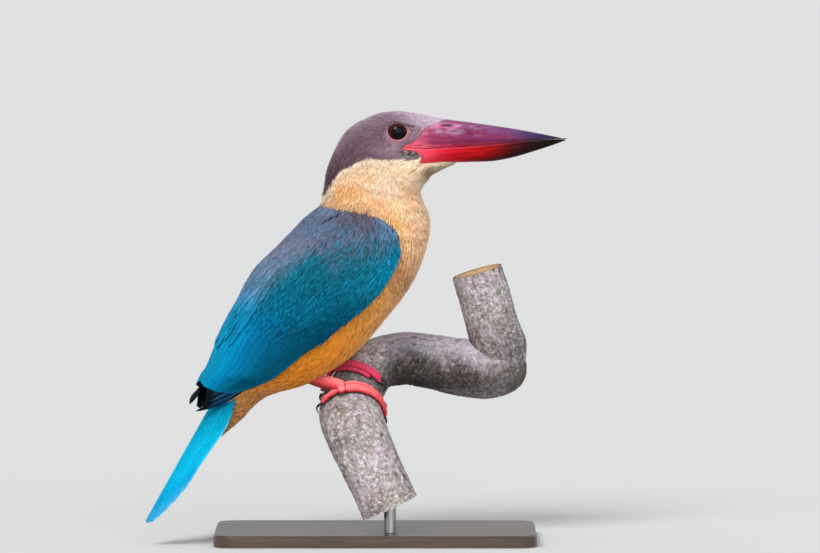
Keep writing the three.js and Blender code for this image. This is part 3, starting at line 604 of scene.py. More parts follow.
def skin_points(s, a):
    """The skin: the outer shape less the coat's depth, sunk under the bill, with the folded arm under the wing."""
    p = BODY.at(s, a, 0.0 * s)
    x, z = side_view(s, a)
    # under the bill
    d = outline_distance(BILL_AREA, x, z)
    q = section_point(STATIONS, s, a, -skin_depth(s, a) - 3.4 * smooth(-0.2, 1.8, d))
    p = np.where((d > -0.3)[..., None], q, p)
    # the folded arm
    w = WING.at(np.clip(s - 6, 0, 6.0), a, -0.5 + 0 * s)
    inside = outline_distance(WING_AREA, x, z)
    m = smooth(1.0, 6.0, inside) * smooth(6.1, 6.8, s) * (1 - smooth(11.4, 12.2, s))
    return p * (1 - m)[..., None] + w * m[..., None]


def eye_axis(side):
    return np.array([EYE["x"], HEAD_Y + side * EYE["side"], EYE["z"]])


def build_skin(mat_skin):
    na, ss = 200, np.concatenate([np.linspace(0, 5, 130), np.linspace(5, 15, 171)[1:]])
    aa = np.linspace(-math.pi, math.pi, na, endpoint=False)
    S, A = np.meshgrid(ss, aa, indexing="ij")
    V = skin_points(S, A)
    # the orbit: skin sinks behind the eyeball
    for side in (-1, 1):
        e = eye_axis(side)
        d = np.hypot(V[..., 0] - 23.9, V[..., 2] - 237.7)
        near = (V[..., 1] - HEAD_Y) * side > 4
        push = np.where(near, 3.2 * (1 - smooth(3.6, 5.4, d)), 0)
        V[..., 1] -= side * push
    col, _ = body_colour(S, A)
    col = col * 0.82
    x, z = side_view(S, A)
    face = smooth(-1.5, 0.5, outline_distance(BILL_AREA, x, z))
    col = mix(col, rgb("7a3a3c"), face * smooth(222.0, 226.0, z))
    # bare skin round the eye: dark, pinker below
    rim = 1 - smooth(-0.1, 0.6, eye_distance(S, A))
    col = mix(col, mix(rgb("3c2730"), rgb("7a4c57"), smooth(239.0, 234.0, z)), 0.95 * rim)
    uv = unwrap(S, A)
    rings = len(ss)
    verts = np.concatenate([V.reshape(-1, 3), V[0].mean(0)[None], V[-1].mean(0)[None]])
    f4 = grid_faces(rings, na, True)
    f3 = np.concatenate([fan(rings * na, np.arange(na)), fan(rings * na + 1, (rings - 1) * na + np.arange(na), True)])
    f3, f4 = outward(verts, f3, f4)
    colour = np.concatenate([col.reshape(-1, 3), col[0].mean(0)[None], col[-1].mean(0)[None]])
    uvs = np.concatenate([uv.reshape(-1, 2), uv[0].mean(0)[None], uv[-1].mean(0)[None]])
    # the wrap from the last column to the first reads a map that runs backwards: give those faces their own corners
    wrap = np.abs(uvs[f4][:, :, 0].max(1) - uvs[f4][:, :, 0].min(1)) > 0.5
    pile = Pile()
    extra = {}
    verts, colour, uvs = list(verts), list(colour), list(uvs)
    f4 = f4.copy()
    for k in np.nonzero(wrap)[0]:
        for c in range(4):
            i = f4[k, c]
            if uvs[i][0] < 0.5:
                if i not in extra:
                    extra[i] = len(verts)
                    verts.append(verts[i])
                    colour.append(colour[i])
                    uvs.append(np.array([uvs[i][0] + 0.97, uvs[i][1]]))
                f4[k, c] = extra[i]
    pile.add(np.array(verts), f3, f4, np.array(colour), np.array(uvs))
    # lids: a soft rim round each eye, drawn out to a point in front
    for side in (-1, 1):
        v, q, c = lid_ring(side)
        n = len(v)
        place = np.array([0.02 if side < 0 else 0.06, 0.004])
        pile.add(v, None, q, c, place + np.stack([(np.arange(n) // 12) * 0.03 / 96, (np.arange(n) % 12) * 5e-4], -1))
    return pile.make("skin", "buff_feathers", mat_skin, ["head", "neck", "breast", "trunk", "undertail"])


LID = dict(x=23.75, z=237.7)


def lid_outline(t):
    """Direction and radius of the eye ring's outer line: round behind, a low point in front."""
    front = np.maximum(np.cos(t), 0) ** 6
    under = smooth(-0.1, 0.75, -np.sin(t))
    rx = 7.0 + 1.3 * front
    rz = 5.5 + 1.2 * under - 1.8 * front
    return rx, rz


def lid_ring(side):
    """A ring of bare skin that hugs the eyeball and meets the face, as one closed band."""
    n, m = 97, 12
    t = np.linspace(0, 2 * math.pi, n)
    rx, rz = lid_outline(t)
    open_x, open_z = 5.2, 4.4
    # profile: fraction from the opening to the outer line, height over the face, colour key
    prof = [(-0.12, -0.3), (0.0, 0.12), (0.14, 0.40), (0.3, 0.32), (0.45, 0.14), (0.6, 0.16), (0.74, 0.32), (0.88, 0.22), (1.04, -0.15), (1.12, -0.9), (0.6, -1.5), (-0.1, -1.2)]
    keys = ["0c0708", "1c0b0b", "40181c", "b87e86", "8a5862", "482a3c", "a87c86", "5a3c4c", "56424e", "3a2a2e", "3a2a2e", "0c0708"]
    e = eye_axis(side)
    rings, cols = [], []
    for (f, h), key in zip(prof, keys):
        X = LID["x"] + np.cos(t) * (open_x + (rx - open_x) * f)
        Z = LID["z"] + np.sin(t) * (open_z + (rz - open_z) * f)
        # the surface under it: the eyeball inside, the face outside
        r2 = (X - e[0]) ** 2 + (Z - e[2]) ** 2
        ball = EYE["side"] + np.sqrt(np.maximum(EYE["radius"] ** 2 - r2, 0.0))
        face = face_half_width(X, Z)
        sunk = 3.2 * (1 - smooth(3.6, 5.4, np.hypot(X - 23.9, Z - 237.7)))
        Y = np.maximum(ball, face - sunk) + h
        rings.append(np.stack([X, HEAD_Y + side * Y, Z], -1))
        low = np.clip(smooth(0.45, -0.35, np.sin(t)) + 0.6 * smooth(0.5, 0.95, np.cos(t)), 0, 1)
        if 0.5 < f < 1.0:
            cols.append(mix(np.broadcast_to(rgb("3c2632"), (n, 3)), rgb(key), 0.3 + 0.7 * low))
        elif f >= 1.0:
            cols.append(mix(np.broadcast_to(rgb("54424c"), (n, 3)), rgb("6a5560"), low))
        else:
            cols.append(mix(np.broadcast_to(rgb("150c0e"), (n, 3)), rgb(key), 0.25 + 0.75 * low))
    V = np.array(rings).transpose(1, 0, 2)  # round, profile
    C = np.array(cols).transpose(1, 0, 2)
    # a paler line only towards the rear and below, pinker in front
    shade = 0.85 + 0.25 * noise(V, 1.5, 3)
    C = C * shade[..., None]
    i = np.arange(n - 1)[:, None]
    j = np.arange(m)[None, :]
    f4 = np.stack([i * m + j, (i + 1) * m + j, (i + 1) * m + (j + 1) % m, i * m + (j + 1) % m], -1).reshape(-1, 4)
    verts = V.reshape(-1, 3)
    _, f4 = outward(verts, None, f4)
    return verts, f4, C.reshape(-1, 3)


_fs = np.linspace(0.4, 5.2, 193)[:, None]
_fa = np.linspace(0.15, 2.3, 161)[None, :]
_fp = section_point(STATIONS, _fs, _fa, -skin_depth(_fs, _fa)).reshape(-1, 3)


def face_half_width(x, z):
    """Half width of the skin at places on the side of the head."""
    out = np.zeros(np.shape(x))
    for k, (u, w) in enumerate(zip(np.ravel(x), np.ravel(z))):
        d = (_fp[:, 0] - u) ** 2 + (_fp[:, 2] - w) ** 2
        near = np.argpartition(d, 4)[:4]
        wt = 1 / (d[near] + 1e-4)
        out.ravel()[k] = ((HEAD_Y - _fp[near, 1]) * wt).sum() / wt.sum()
    return out


# ---------------------------------------------------------------- coat of small feathers


def scatter(surface, s0, s1, a0, a1, spacing, keep, seed, tries=7.0):
    """Roots spread evenly over a chart: no two nearer than the spacing there."""
    rng = np.random.default_rng(seed)
    ns, na = 240, 240
    S, A = np.meshgrid(np.linspace(s0, s1, ns + 1), np.linspace(a0, a1, na + 1), indexing="ij")
    P = surface.at(S, A, 0 * S)
    area = np.linalg.norm(np.cross(P[1:, :-1] - P[:-1, :-1], P[:-1, 1:] - P[:-1, :-1]), axis=-1)
    cs, ca = (S[1:, 1:] + S[:-1, :-1]) / 2, (A[1:, 1:] + A[:-1, :-1]) / 2
    want = area / spacing(cs, ca) ** 2 * keep(cs, ca)
    count = int(want.sum() * tries)
    pick = rng.choice(want.size, count, p=(want / want.sum()).ravel())
    i, j = np.unravel_index(pick, want.shape)
    s = s0 + (s1 - s0) * (i + rng.random(count)) / ns
    a = a0 + (a1 - a0) * (j + rng.random(count)) / na
    ok = keep(s, a) > 0.5
    s, a = s[ok], a[ok]
    p = surface.at(s, a, 0 * s)
    r = spacing(s, a)
    cell = float(r.max())
    key = np.floor(p / cell).astype(int)
    bins, chosen = {}, []
    pts, rr, keys = p.tolist(), r.tolist(), key.tolist()
    for n in range(len(pts)):
        x, y, z = pts[n]
        kx, ky, kz = keys[n]
        r2 = rr[n] ** 2
        good = True
        for dx in (-1, 0, 1):
            for dy in (-1, 0, 1):
                for dz in (-1, 0, 1):
                    for q in bins.get((kx + dx, ky + dy, kz + dz), ()):
                        if (q[0] - x) ** 2 + (q[1] - y) ** 2 + (q[2] - z) ** 2 < r2:
                            good = False
                            break
                    if not good:
                        break
                if not good:
                    break
            if not good:
                break
        if good:
            bins.setdefault((kx, ky, kz), []).append((x, y, z))
            chosen.append(n)
    return s[chosen], a[chosen]


def march(surface, s, a, angle, length, heights, fractions):
    """Lines over the surface that start at s, a and leave the lie of the coat by an angle (positive towards +a).
    Returns chart places, points, normals and tangents at each fraction of the length."""
    s, a = s.copy(), a.copy()
    S, A, P, N = [], [], [], []
    sub = 2
    last = 0.0
    for k, f in enumerate(fractions):
        if k:
            step = (f - last) * length / sub
            for _ in range(sub):
                _, ps, pa, n = surface.frame(s, a, 0.5)
                t = unit(ps)
                b = unit(np.cross(n, t))
                b = b * np.sign((b * pa).sum(-1))[..., None]
                ang = angle if np.ndim(angle) == 1 else angle[k]
                d = t * np.cos(ang)[:, None] + b * np.sin(ang)[:, None]
                ds, da = surface.step(s, a, 0.5, d * step[:, None])
                s, a = s + ds, a + da
        last = f
        p, _, _, n = surface.frame(s, a, heights[k])
        S.append(s)
        A.append(a)
        P.append(p)
        N.append(n)
    S, A, P, N = (np.array(x) for x in (S, A, P, N))
    T = unit(np.gradient(P, axis=0))
    return S, A, P, N, T


def lock_meshes(P, N, T, width, thick):
    """Thin tapering closed locks: three rings of three corners and a tip."""
    m, n = P.shape[:2]
    B = unit(np.cross(N, T))
    verts = []
    for k in range(m - 1):
        w = width * [0.5, 1.0, 0.72, 0.5][k] / 2
        h = thick * [0.6, 1.0, 0.8, 0.6][k]
        verts += [P[k] - B[k] * w[:, None], P[k] + N[k] * h[:, None], P[k] + B[k] * w[:, None]]
    verts.append(P[-1])
    per = 3 * (m - 1) + 1
    V = np.stack(verts, 1)
    faces = [[0, 1, 2]]
    for k in range(m - 2):
        a, b = 3 * k, 3 * (k + 1)
        for i, j in ((0, 1), (1, 2), (2, 0)):
            faces += [[a + i, b + i, a + j], [a + j, b + i, b + j]]
    a = 3 * (m - 2)
    for i, j in ((0, 1), (1, 2), (2, 0)):
        faces.append([a + i, per - 1, a + j])
    faces = np.array(faces)
    F = (faces[None] + (np.arange(n) * per)[:, None, None]).reshape(-1, 3)
    # turn them out if the first is inside out
    t = V[0][faces]
    if np.einsum("ij,ij->i", t[:, 0] - V[0].mean(0), np.cross(t[:, 1] - V[0].mean(0), t[:, 2] - V[0].mean(0))).sum() < 0:
        F = F[:, ::-1]
    return V, F, per


FR = np.array([0.0, 0.36, 0.7, 1.0])


def coat(pile, surface, s, a, length, width, locks, spread, seed, lift=1.0, colour=body_colour, avoid=None, ruffle=0.0, streak=0.0, root=-0.3, shade=(0.9, 1.05), uv=unwrap, lean=None, tint=None, lie_noise=0.10,
         flow=0.5, flat_lock=0.2):
    """One feather per root, each of several locks fanned from it, laid along the body."""
    rng = np.random.default_rng(seed)
    n = len(s)
    lie = rng.normal(0, lie_noise, n) + flow * (noise(surface.at(s, a, 0 * s), 14.0, seed + 1) - 0.5)
    if lean is not None:
        lie = lie + lean(s, a)
    luck = rng.random(n)
    tone = 1 + 0.055 * rng.normal(0, 1, n)
    raise_ = rng.normal(0, 1, n)
    for k in range(locks):
        f = 0.0 if locks == 1 else 2 * k / (locks - 1) - 1
        jitter = rng.normal(0, 1, (6, n))
        ang = lie + f * spread + 0.06 * jitter[0]
        ln = length * (1 - 0.22 * f * f + 0.07 * jitter[1])
        # roots side by side, a little apart
        _, ps, pa, nn = surface.frame(s, a, 0.2)
        t = unit(ps)
        b = unit(np.cross(nn, t))
        b = b * np.sign((b * pa).sum(-1))[:, None]
        off = b * (f * width * 0.55 * locks / 3 + 0.12 * width * jitter[2])[:, None]
        ds, da = surface.step(s, a, 0.2, off)
        top = surface.depth(s, a) * lift * (1 + 0.05 * raise_) + 0.06 * jitter[3] - 0.10 * f * f
        hs = [root + (top - root) * v ** 0.75 for v in FR]
        hs[3] = hs[3] + ruffle * np.abs(jitter[4])
        S, A, P, N, T = march(surface, s + ds, a + da, ang, ln, hs, FR)
        ok = np.ones(n, bool)
        if avoid is not None:
            ok = ~np.any([avoid(S[j], A[j]) for j in range(1, 4)], axis=0)
        if not ok.any():
            continue
        S, A, P, N, T = (x[:, ok] for x in (S, A, P, N, T))
        w = (width * (1 + 0.12 * jitter[5]))[ok]
        V, F, per = lock_meshes(P, N, T, w, w * flat_lock)
        m = ok.sum()
        c, _ = colour(S[2], A[2])
        if tint is not None:
            c = tint(c, luck[ok], S[2], A[2])
        c = c * tone[ok][:, None] * (1 + 0.03 * jitter[4][ok])[:, None]
        along = np.concatenate([np.full(3, 0.0), np.full(3, FR[1]), np.full(3, FR[2]), [1.0]])
        grade = shade[0] + (shade[1] - shade[0]) * along
        C = c[:, None] * grade[None, :, None]
        if streak:
            C = C * (1 - streak * (1 - abs(f)) * rng.random(m)[:, None, None] * (0.6 + 0.4 * along[None, :, None]))
        root_uv = uv(s[ok] + ds[ok], a[ok] + da[ok])
        across = np.concatenate([np.tile([-0.5, 0.0, 0.5], 3), [0.0]])
        UV = root_uv[:, None] + np.stack([across, along], -1)[None] * 0.0028
        vane = np.stack([across * 1.0, along, np.zeros(per)], -1)[None] * np.ones((m, 1, 1))
        vane[..., 0] *= w[:, None]
        vane[..., 1] *= ln[ok][:, None]
        vane[..., 2] = rng.random(m)[:, None]
        pile.add(V.reshape(-1, 3), F, None, C.reshape(-1, 3), np.clip(UV, 0.001, 0.999).reshape(-1, 2), vane.reshape(-1, 3))
    return n


def wing_inside(s, a):
    x, z = side_view(s, a)
    return outline_distance(WING_AREA, x, z)


def eye_distance(s, a):
    """How far outside the eye ring's outer line, in mm."""
    x, z = side_view(s, a)
    t = np.arctan2(z - LID["z"], x - LID["x"])
    rx, rz = lid_outline(t)
    r = 1 / np.sqrt((np.cos(t) / rx) ** 2 + (np.sin(t) / rz) ** 2)
    return np.where((s < 4.2) & (np.abs(a) < 2.2), np.hypot(x - LID["x"], z - LID["z"]) - r, 9.0)


def coat_keep(s, a):
    x, z = side_view(s, a)
    on_bill = outline_distance(BILL_AREA, x, z) > np.where((z < 221.5) & (x > 36), 0.35, -0.15)
    under_wing = (outline_distance(WING_AREA, x, z) > 3.0) & (s < 12.6)
    return (~on_bill & ~under_wing & (eye_distance(s, a) > 0.15)).astype(float)


def coat_avoid(s, a):
    x, z = side_view(s, a)
    return ((eye_distance(s, a) < 0.0) | ((outline_distance(BILL_AREA, x, z) > np.where((z < 221.5) & (x > 36), 0.8, 0.4)) & (s < 4))
            | ((wing_inside(s, a) > 3.0) & (s > 5) & (s < 12)))


def build_coat(mat):
    def run(name, slot, s0, s1, spacing, length, width, locks, spread, seed, keep=coat_keep, **more):
        s, a = scatter(BODY, s0, s1, -math.pi, math.pi, spacing, keep, seed)
        pile = Pile()
        coat(pile, BODY, s, a, length(s, a), width(s, a), locks, spread, seed + 1, avoid=coat_avoid, **more)
        ob = pile.make(name, slot, mat)
        print(name, len(s), "feathers,", sum(len(f) for f in pile.f3), "triangles")
        return ob

    def cap_side(s, a):
        x, z = side_view(s, a)
        return outline_distance(CAP_AREA, x, z)

    near_eye = lambda s, a: smooth(0.0, 7.0, eye_distance(s, a))
    face = lambda s, a: smooth(0.8, 3.0, s)
    run("coat_cap", "cap_feathers", 0.0, 6.4, lambda s, a: (0.85 + 0.3 * face(s, a) + 0.12 * smooth(3, 5, s)) * (0.72 + 0.28 * near_eye(s, a)),
        lambda s, a: (1.9 + 2.0 * face(s, a) + 1.3 * smooth(3.2, 5, s)) * (0.6 + 0.4 * near_eye(s, a)),
        lambda s, a: 0.30 + 0.12 * face(s, a) + 0.03 * near_eye(s, a), 3, 0.13, 101,
        keep=lambda s, a: coat_keep(s, a) * (cap_side(s, a) > -1.2), streak=0.3, shade=(0.84, 1.08))
    run("coat_cheek", "buff_feathers", 0.0, 5.3, lambda s, a: 0.95 + 0.42 * face(s, a), lambda s, a: 2.2 + 3.2 * face(s, a),
        lambda s, a: 0.32 + 0.12 * face(s, a), 4, 0.15, 111, keep=lambda s, a: coat_keep(s, a) * (cap_side(s, a) < 0.6))
    run("coat_neck", "buff_feathers", 5.0, 7.3, lambda s, a: 1.5 + 0 * s, lambda s, a: 7.0 + 0 * s, lambda s, a: 0.46 + 0 * s, 5, 0.16, 121,
        keep=lambda s, a: coat_keep(s, a) * (cap_side(s, a) < 0.4), ruffle=0.06)
    run("coat_breast", "buff_feathers", 7.1, 9.6, lambda s, a: 1.75 + 0 * s, lambda s, a: 8.5 + 0 * s, lambda s, a: 0.52 + 0 * s, 5, 0.17, 131, ruffle=0.08)
    run("coat_belly", "orange_feathers", 9.4, 12.6, lambda s, a: 1.95 + 0 * s, lambda s, a: 9.5 + 0 * s, lambda s, a: 0.58 + 0 * s, 5, 0.17, 141, ruffle=0.1)
    run("coat_undertail", "orange_feathers", 12.4, 14.9, lambda s, a: 1.7 - 0.3 * smooth(13, 15, s), lambda s, a: 9.0 - 3.5 * smooth(13, 15, s), lambda s, a: 0.55 + 0 * s, 5, 0.15, 151, ruffle=0.1)


# ---------------------------------------------------------------- bill and eyes


def bill_colour(x, z, rel, upper):
    """rel runs from 0 at the mouth line to 1 at the ridge or keel."""
    t = (x - 26) / 95.0
    p = np.stack([x * 0.16, np.zeros_like(x), z], -1)
    streak = fbm(p, 1.6, 3, 77)
    if upper:
        side = ramp(t, [(0, "b44c62"), (0.08, "a64866"), (0.2, "7e2c50"), (0.42, "5e1842"), (0.5, "66224c"), (0.62, "66244e"), (0.75, "3e264c"), (0.87, "241f40"), (1, "0e0d14")])
        # towards the ridge the horn is painted lilac-grey: painted sheen along the culmen, over the horn's own
        # darkening to the tip
        ridge = ramp(t, [(0, "a08894"), (0.16, "8c6a7e"), (0.35, "704a6c"), (0.55, "663e64"), (0.72, "4a3458"), (0.86, "26203c"), (1, "0f0e15")])
        edge = ramp(t, [(0, "c8505c"), (0.12, "b04858"), (0.2, "982c48"), (0.32, "780e2c"), (0.5, "6c0f28"), (0.7, "3c0a18"), (0.85, "17080e"), (1, "0b080a")])
        c = mix(side, ridge, smooth(0.45, 0.9, rel))
        c = mix(c, edge, 1 - smooth(0.05, 0.24, rel))
        cloud = fbm(np.stack([x * 0.2, np.zeros_like(x), z], -1), 1.5, 3, 79)
        # pale lilac clouds on the upper flank: painted sheen; the dark crimson clouds below are the horn's own colour
        c = mix(c, rgb("ae8cac"), 0.42 * smooth(0.46, 0.66, cloud) * smooth(0.35, 0.55, rel) * (1 - smooth(0.82, 1.0, rel)) * smooth(0.06, 0.14, t) * (1 - smooth(0.38, 0.62, t)))
        c = mix(c, rgb("6e0c2a"), 0.5 * smooth(0.45, 0.6, 1 - cloud) * smooth(0.15, 0.4, rel) * (1 - smooth(0.6, 0.8, t)) * smooth(0.1, 0.2, t))
    else:
        side = ramp(t, [(0, "e0566c"), (0.12, "d43e54"), (0.28, "b20e22"), (0.45, "9c0408"), (0.55, "860205"), (0.64, "4c0205"), (0.75, "240205"), (0.86, "0e0506"), (1, "0b0607")])
        # the keel is paler coral near the base: partly the horn's own colour, partly painted reflection
        keel = ramp(t, [(0, "ea5c58"), (0.14, "dd3434"), (0.3, "c40c12"), (0.42, "86060a"), (0.55, "42060a"), (0.7, "150607"), (1, "0b0607")])
        edge = ramp(t, [(0, "d85660"), (0.2, "cf4a5e"), (0.45, "b83a4c"), (0.65, "8a2034"), (0.8, "3c0c14"), (1, "0e0708")])
        c = mix(side, keel, smooth(0.45, 0.95, rel))
        c = mix(c, edge, 0.5 * (1 - smooth(0.03, 0.13, rel)))
    return c * (0.88 + 0.24 * streak)[..., None]


def face_distance(x, z):
    return outline_distance(BILL_AREA, x, z)


def build_bill(mat_up, mat_low):
    s_all = np.concatenate([np.linspace(0, 2, 70), np.linspace(2, 7.2, 110)[1:], np.linspace(7.2, 8, 26)[1:]])
    for upper in (True, False):
        arc = 44
        rows = spline(BILL, s_all)
        x, top, mouth, low, w = rows.T
        gap = 0.12
        edge_z = mouth + (gap if upper else -gap)
        rise = (top - edge_z) if upper else (edge_z - low)
        n = 1.75 if upper else 1.9 + 0.8 * (1 - smooth(40, 66, x))[:, None]
        a = math.pi * (0.5 - 0.5 * np.cos(np.linspace(0, math.pi, arc + 1)))  # denser at the mouth
        a = 0.55 * a + 0.45 * np.linspace(0, math.pi, arc + 1)
        c = np.sign(np.cos(a)) * np.abs(np.cos(a)) ** (2 / 2.3)
        X = np.repeat(x[:, None], arc + 1, 1)
        h = np.abs(np.sin(a)) ** (2 / n)
        rel = np.repeat(h[None], len(x), 0) if upper else h + 0 * X
        sgn = 1 if upper else -1
        Z = edge_z[:, None] + sgn * rise[:, None] * rel
        half = w[:, None] * c[None]
        t = (X - 26) / 95.0
        if upper:
            # a shallow groove above the cutting edge, a flat flank and a soft ridge
            groove = np.exp(-((rel - 0.17) / 0.055) ** 2) * smooth(34, 46, X) * (1 - smooth(98, 112, X))
            half = half - np.sign(half) * 0.42 * groove
            swell = np.exp(-((rel - 0.05) / 0.05) ** 2) * smooth(34, 46, X) * (1 - smooth(104, 116, X))
            half = half + np.sign(half) * 0.22 * swell
            ridge = np.exp(-((rel - 0.8) / 0.10) ** 2) * smooth(50, 62, X) * (1 - smooth(90, 110, X))
            half = half - np.sign(half) * 0.28 * ridge
            # nostril: a slit under the ridge
            nz = 241.0 - 0.035 * (X - 52)
            nd = np.hypot((X - 52.4) / 4.9, (Z - nz) / 0.85)
            half = half - np.sign(half) * 1.3 * (1 - smooth(0.2, 1.0, nd))
            lip = np.exp(-((nd - 1.35) / 0.35) ** 2)
            half = half + np.sign(half) * 0.16 * lip
        else:
            groove = np.exp(-((rel - 0.2) / 0.06) ** 2) * smooth(40, 52, X) * (1 - smooth(92, 108, X))
            half = half - np.sign(half) * 0.25 * groove
        # fine growth lines and pits
        P3 = np.stack([X * 0.22, half, Z], -1)
        half = half * (1 + 0.010 * (fbm(P3, 2.2, 3, 41) - 0.5) * 2)
        # it draws in under the feathers of the face
        d = face_distance(X, Z)
        shrink = 1.9 * (1 - smooth(-2.2, 0.1, d))
        size = np.maximum(np.abs(half), 1e-3)
        half = np.sign(half) * np.maximum(size - shrink * (size > 0.4), 0.05 * size)
        Z = Z - sgn * np.minimum(shrink * rel, rise[:, None] * 0.3) * (1.0 if upper else 0.0)
        V = np.stack([X, HEAD_Y - half, Z], -1)
        C = bill_colour(X, Z, rel, upper)
        if upper:
            # painted shade in the nostril and in the groove above the cutting edge
            C = mix(C, rgb("2a060e"), 0.97 * (1 - smooth(0.45, 1.05, nd)))
            C = mix(C, rgb("4d1028"), 0.75 * groove)
            C = mix(C, rgb("d2688c"), 0.5 * lip * (X < 60))
            # the corner of the mouth: painted shade in a dark red slit between pale rims
            slit = (1 - smooth(0.0, 0.5, np.abs(Z - 229.55))) * smooth(29.5, 31.0, X) * (1 - smooth(37.0, 39.5, X))
            C = mix(C, rgb("560410"), 0.9 * slit)
            C = mix(C, rgb("c8505e"), 0.35 * (1 - smooth(36, 46, X)) * (1 - smooth(0.10, 0.3, rel)) * (1 - slit))
        # floor of the half: a slightly hollow strip back to the first corner
        m = 7
        back = []
        for k in range(1, m):
            f = k / m
            row = V[:, -1] * (1 - f) + V[:, 0] * f
            row = row + np.array([0, 0, sgn * 0.8]) * (np.sin(math.pi * f) * np.minimum(w, 8) / 8)[:, None] * smooth(0, 1, np.ones_like(w))[:, None]
            back.append(row)
        R = np.concatenate([V, np.array(back).transpose(1, 0, 2)], 1)
        CC = np.concatenate([C, np.broadcast_to(rgb("6c1420"), (len(x), m - 1, 3))], 1)
        # the point
        tip = np.array([123.2, HEAD_Y, 233.7]) if upper else np.array([121.4, HEAD_Y, 232.9])
        ends = []
        for f in (0.45, 0.8, 0.95):
            e = R[-1] * (1 - f) + tip * f
            k = math.sqrt(1 - f * f) / (1 - f) if f < 1 else 1
            e = tip + (R[-1] - tip) * np.array([1 - f, math.sqrt(1 - f * f) * 0.9, math.sqrt(1 - f * f) * 0.9])
            ends.append(e)
        R = np.concatenate([R, np.array(ends)], 0)
        CC = np.concatenate([CC, np.repeat(CC[-1:], 3, 0)], 0)
        verts, f3, f4 = closed_tube(R)
        f3, f4 = outward(verts, f3, f4)
        col = np.concatenate([CC.reshape(-1, 3), CC[0].mean(0)[None], CC[-1].mean(0)[None]])
        pile = Pile()
        pile.add(verts, f3, f4, col, np.zeros((len(verts), 2)))
        name = "bill_upper_horn" if upper else "bill_lower_horn"
        ob = pile.make(name, name, mat_up if upper else mat_low, ["bill_upper" if upper else "bill_lower"])
        ob.data.uv_layers.remove(ob.data.uv_layers["OFBake"])


def build_eyes(mat):
    for side, word in ((-1, "right"), (1, "left")):
        e = eye_axis(side)
        n, m = 96, 64
        th = np.linspace(0, math.pi, m + 1)
        ph = np.linspace(0, 2 * math.pi, n, endpoint=False)
        T, Pp = np.meshgrid(th[1:-1], ph, indexing="ij")
        # the cornea bulges a little
        look = unit(np.array([0.12, side * 1.0, 0.0]))
        u = unit(np.cross(look, [0, 0, 1.0]))
        w = np.cross(u, look)
        r = EYE["radius"] * (1 + 0.015 * (1 - smooth(0.0, 0.75, T)))
        V = e + r[..., None] * (np.cos(T)[..., None] * look + np.sin(T)[..., None] * (np.cos(Pp)[..., None] * u + np.sin(Pp)[..., None] * w))
        ang = np.degrees(T)
        c = ramp(ang, [(0, "030303"), (31, "050306"), (35, "1a0809"), (44, "340e10"), (50, "2c0c0e"), (56, "140708"), (180, "1a0e0c")])
        ir = noise(np.stack([Pp * 9, T * 3, 0 * T], -1), 1.0, 5)
        c = c * (0.75 + 0.5 * ir)[..., None]
        verts = np.concatenate([V.reshape(-1, 3), (e + look * EYE["radius"] * 1.015)[None], (e - look * EYE["radius"])[None]])
        f4 = grid_faces(m - 1, n, True)
        f3 = np.concatenate([fan((m - 1) * n, np.arange(n)), fan((m - 1) * n + 1, (m - 2) * n + np.arange(n), True)])
        f3, f4 = outward(verts, f3, f4)
        col = np.concatenate([c.reshape(-1, 3), rgb("030303")[None], rgb("1a0e0c")[None]])
        pile = Pile()
        pile.add(verts, f3, f4, col, np.zeros((len(verts), 2)))
        ob = pile.make("eyeball_" + word, "eye", mat, ["eye_" + word])
        ob.data.uv_layers.remove(ob.data.uv_layers["OFBake"])


# ---------------------------------------------------------------- large feathers


def vane_shape(tau, tip=0.72, base=0.4, point=1.0):
    """Half width along a feather: narrow at the root, full, and rounded at the end."""
    w = base + (1 - base) * smooth(0.0, 0.28, tau)
    q = np.clip((tau - tip) / (1 - tip), 0, 1)
    return w * (1 - q ** 2.1) ** (0.5 * point)


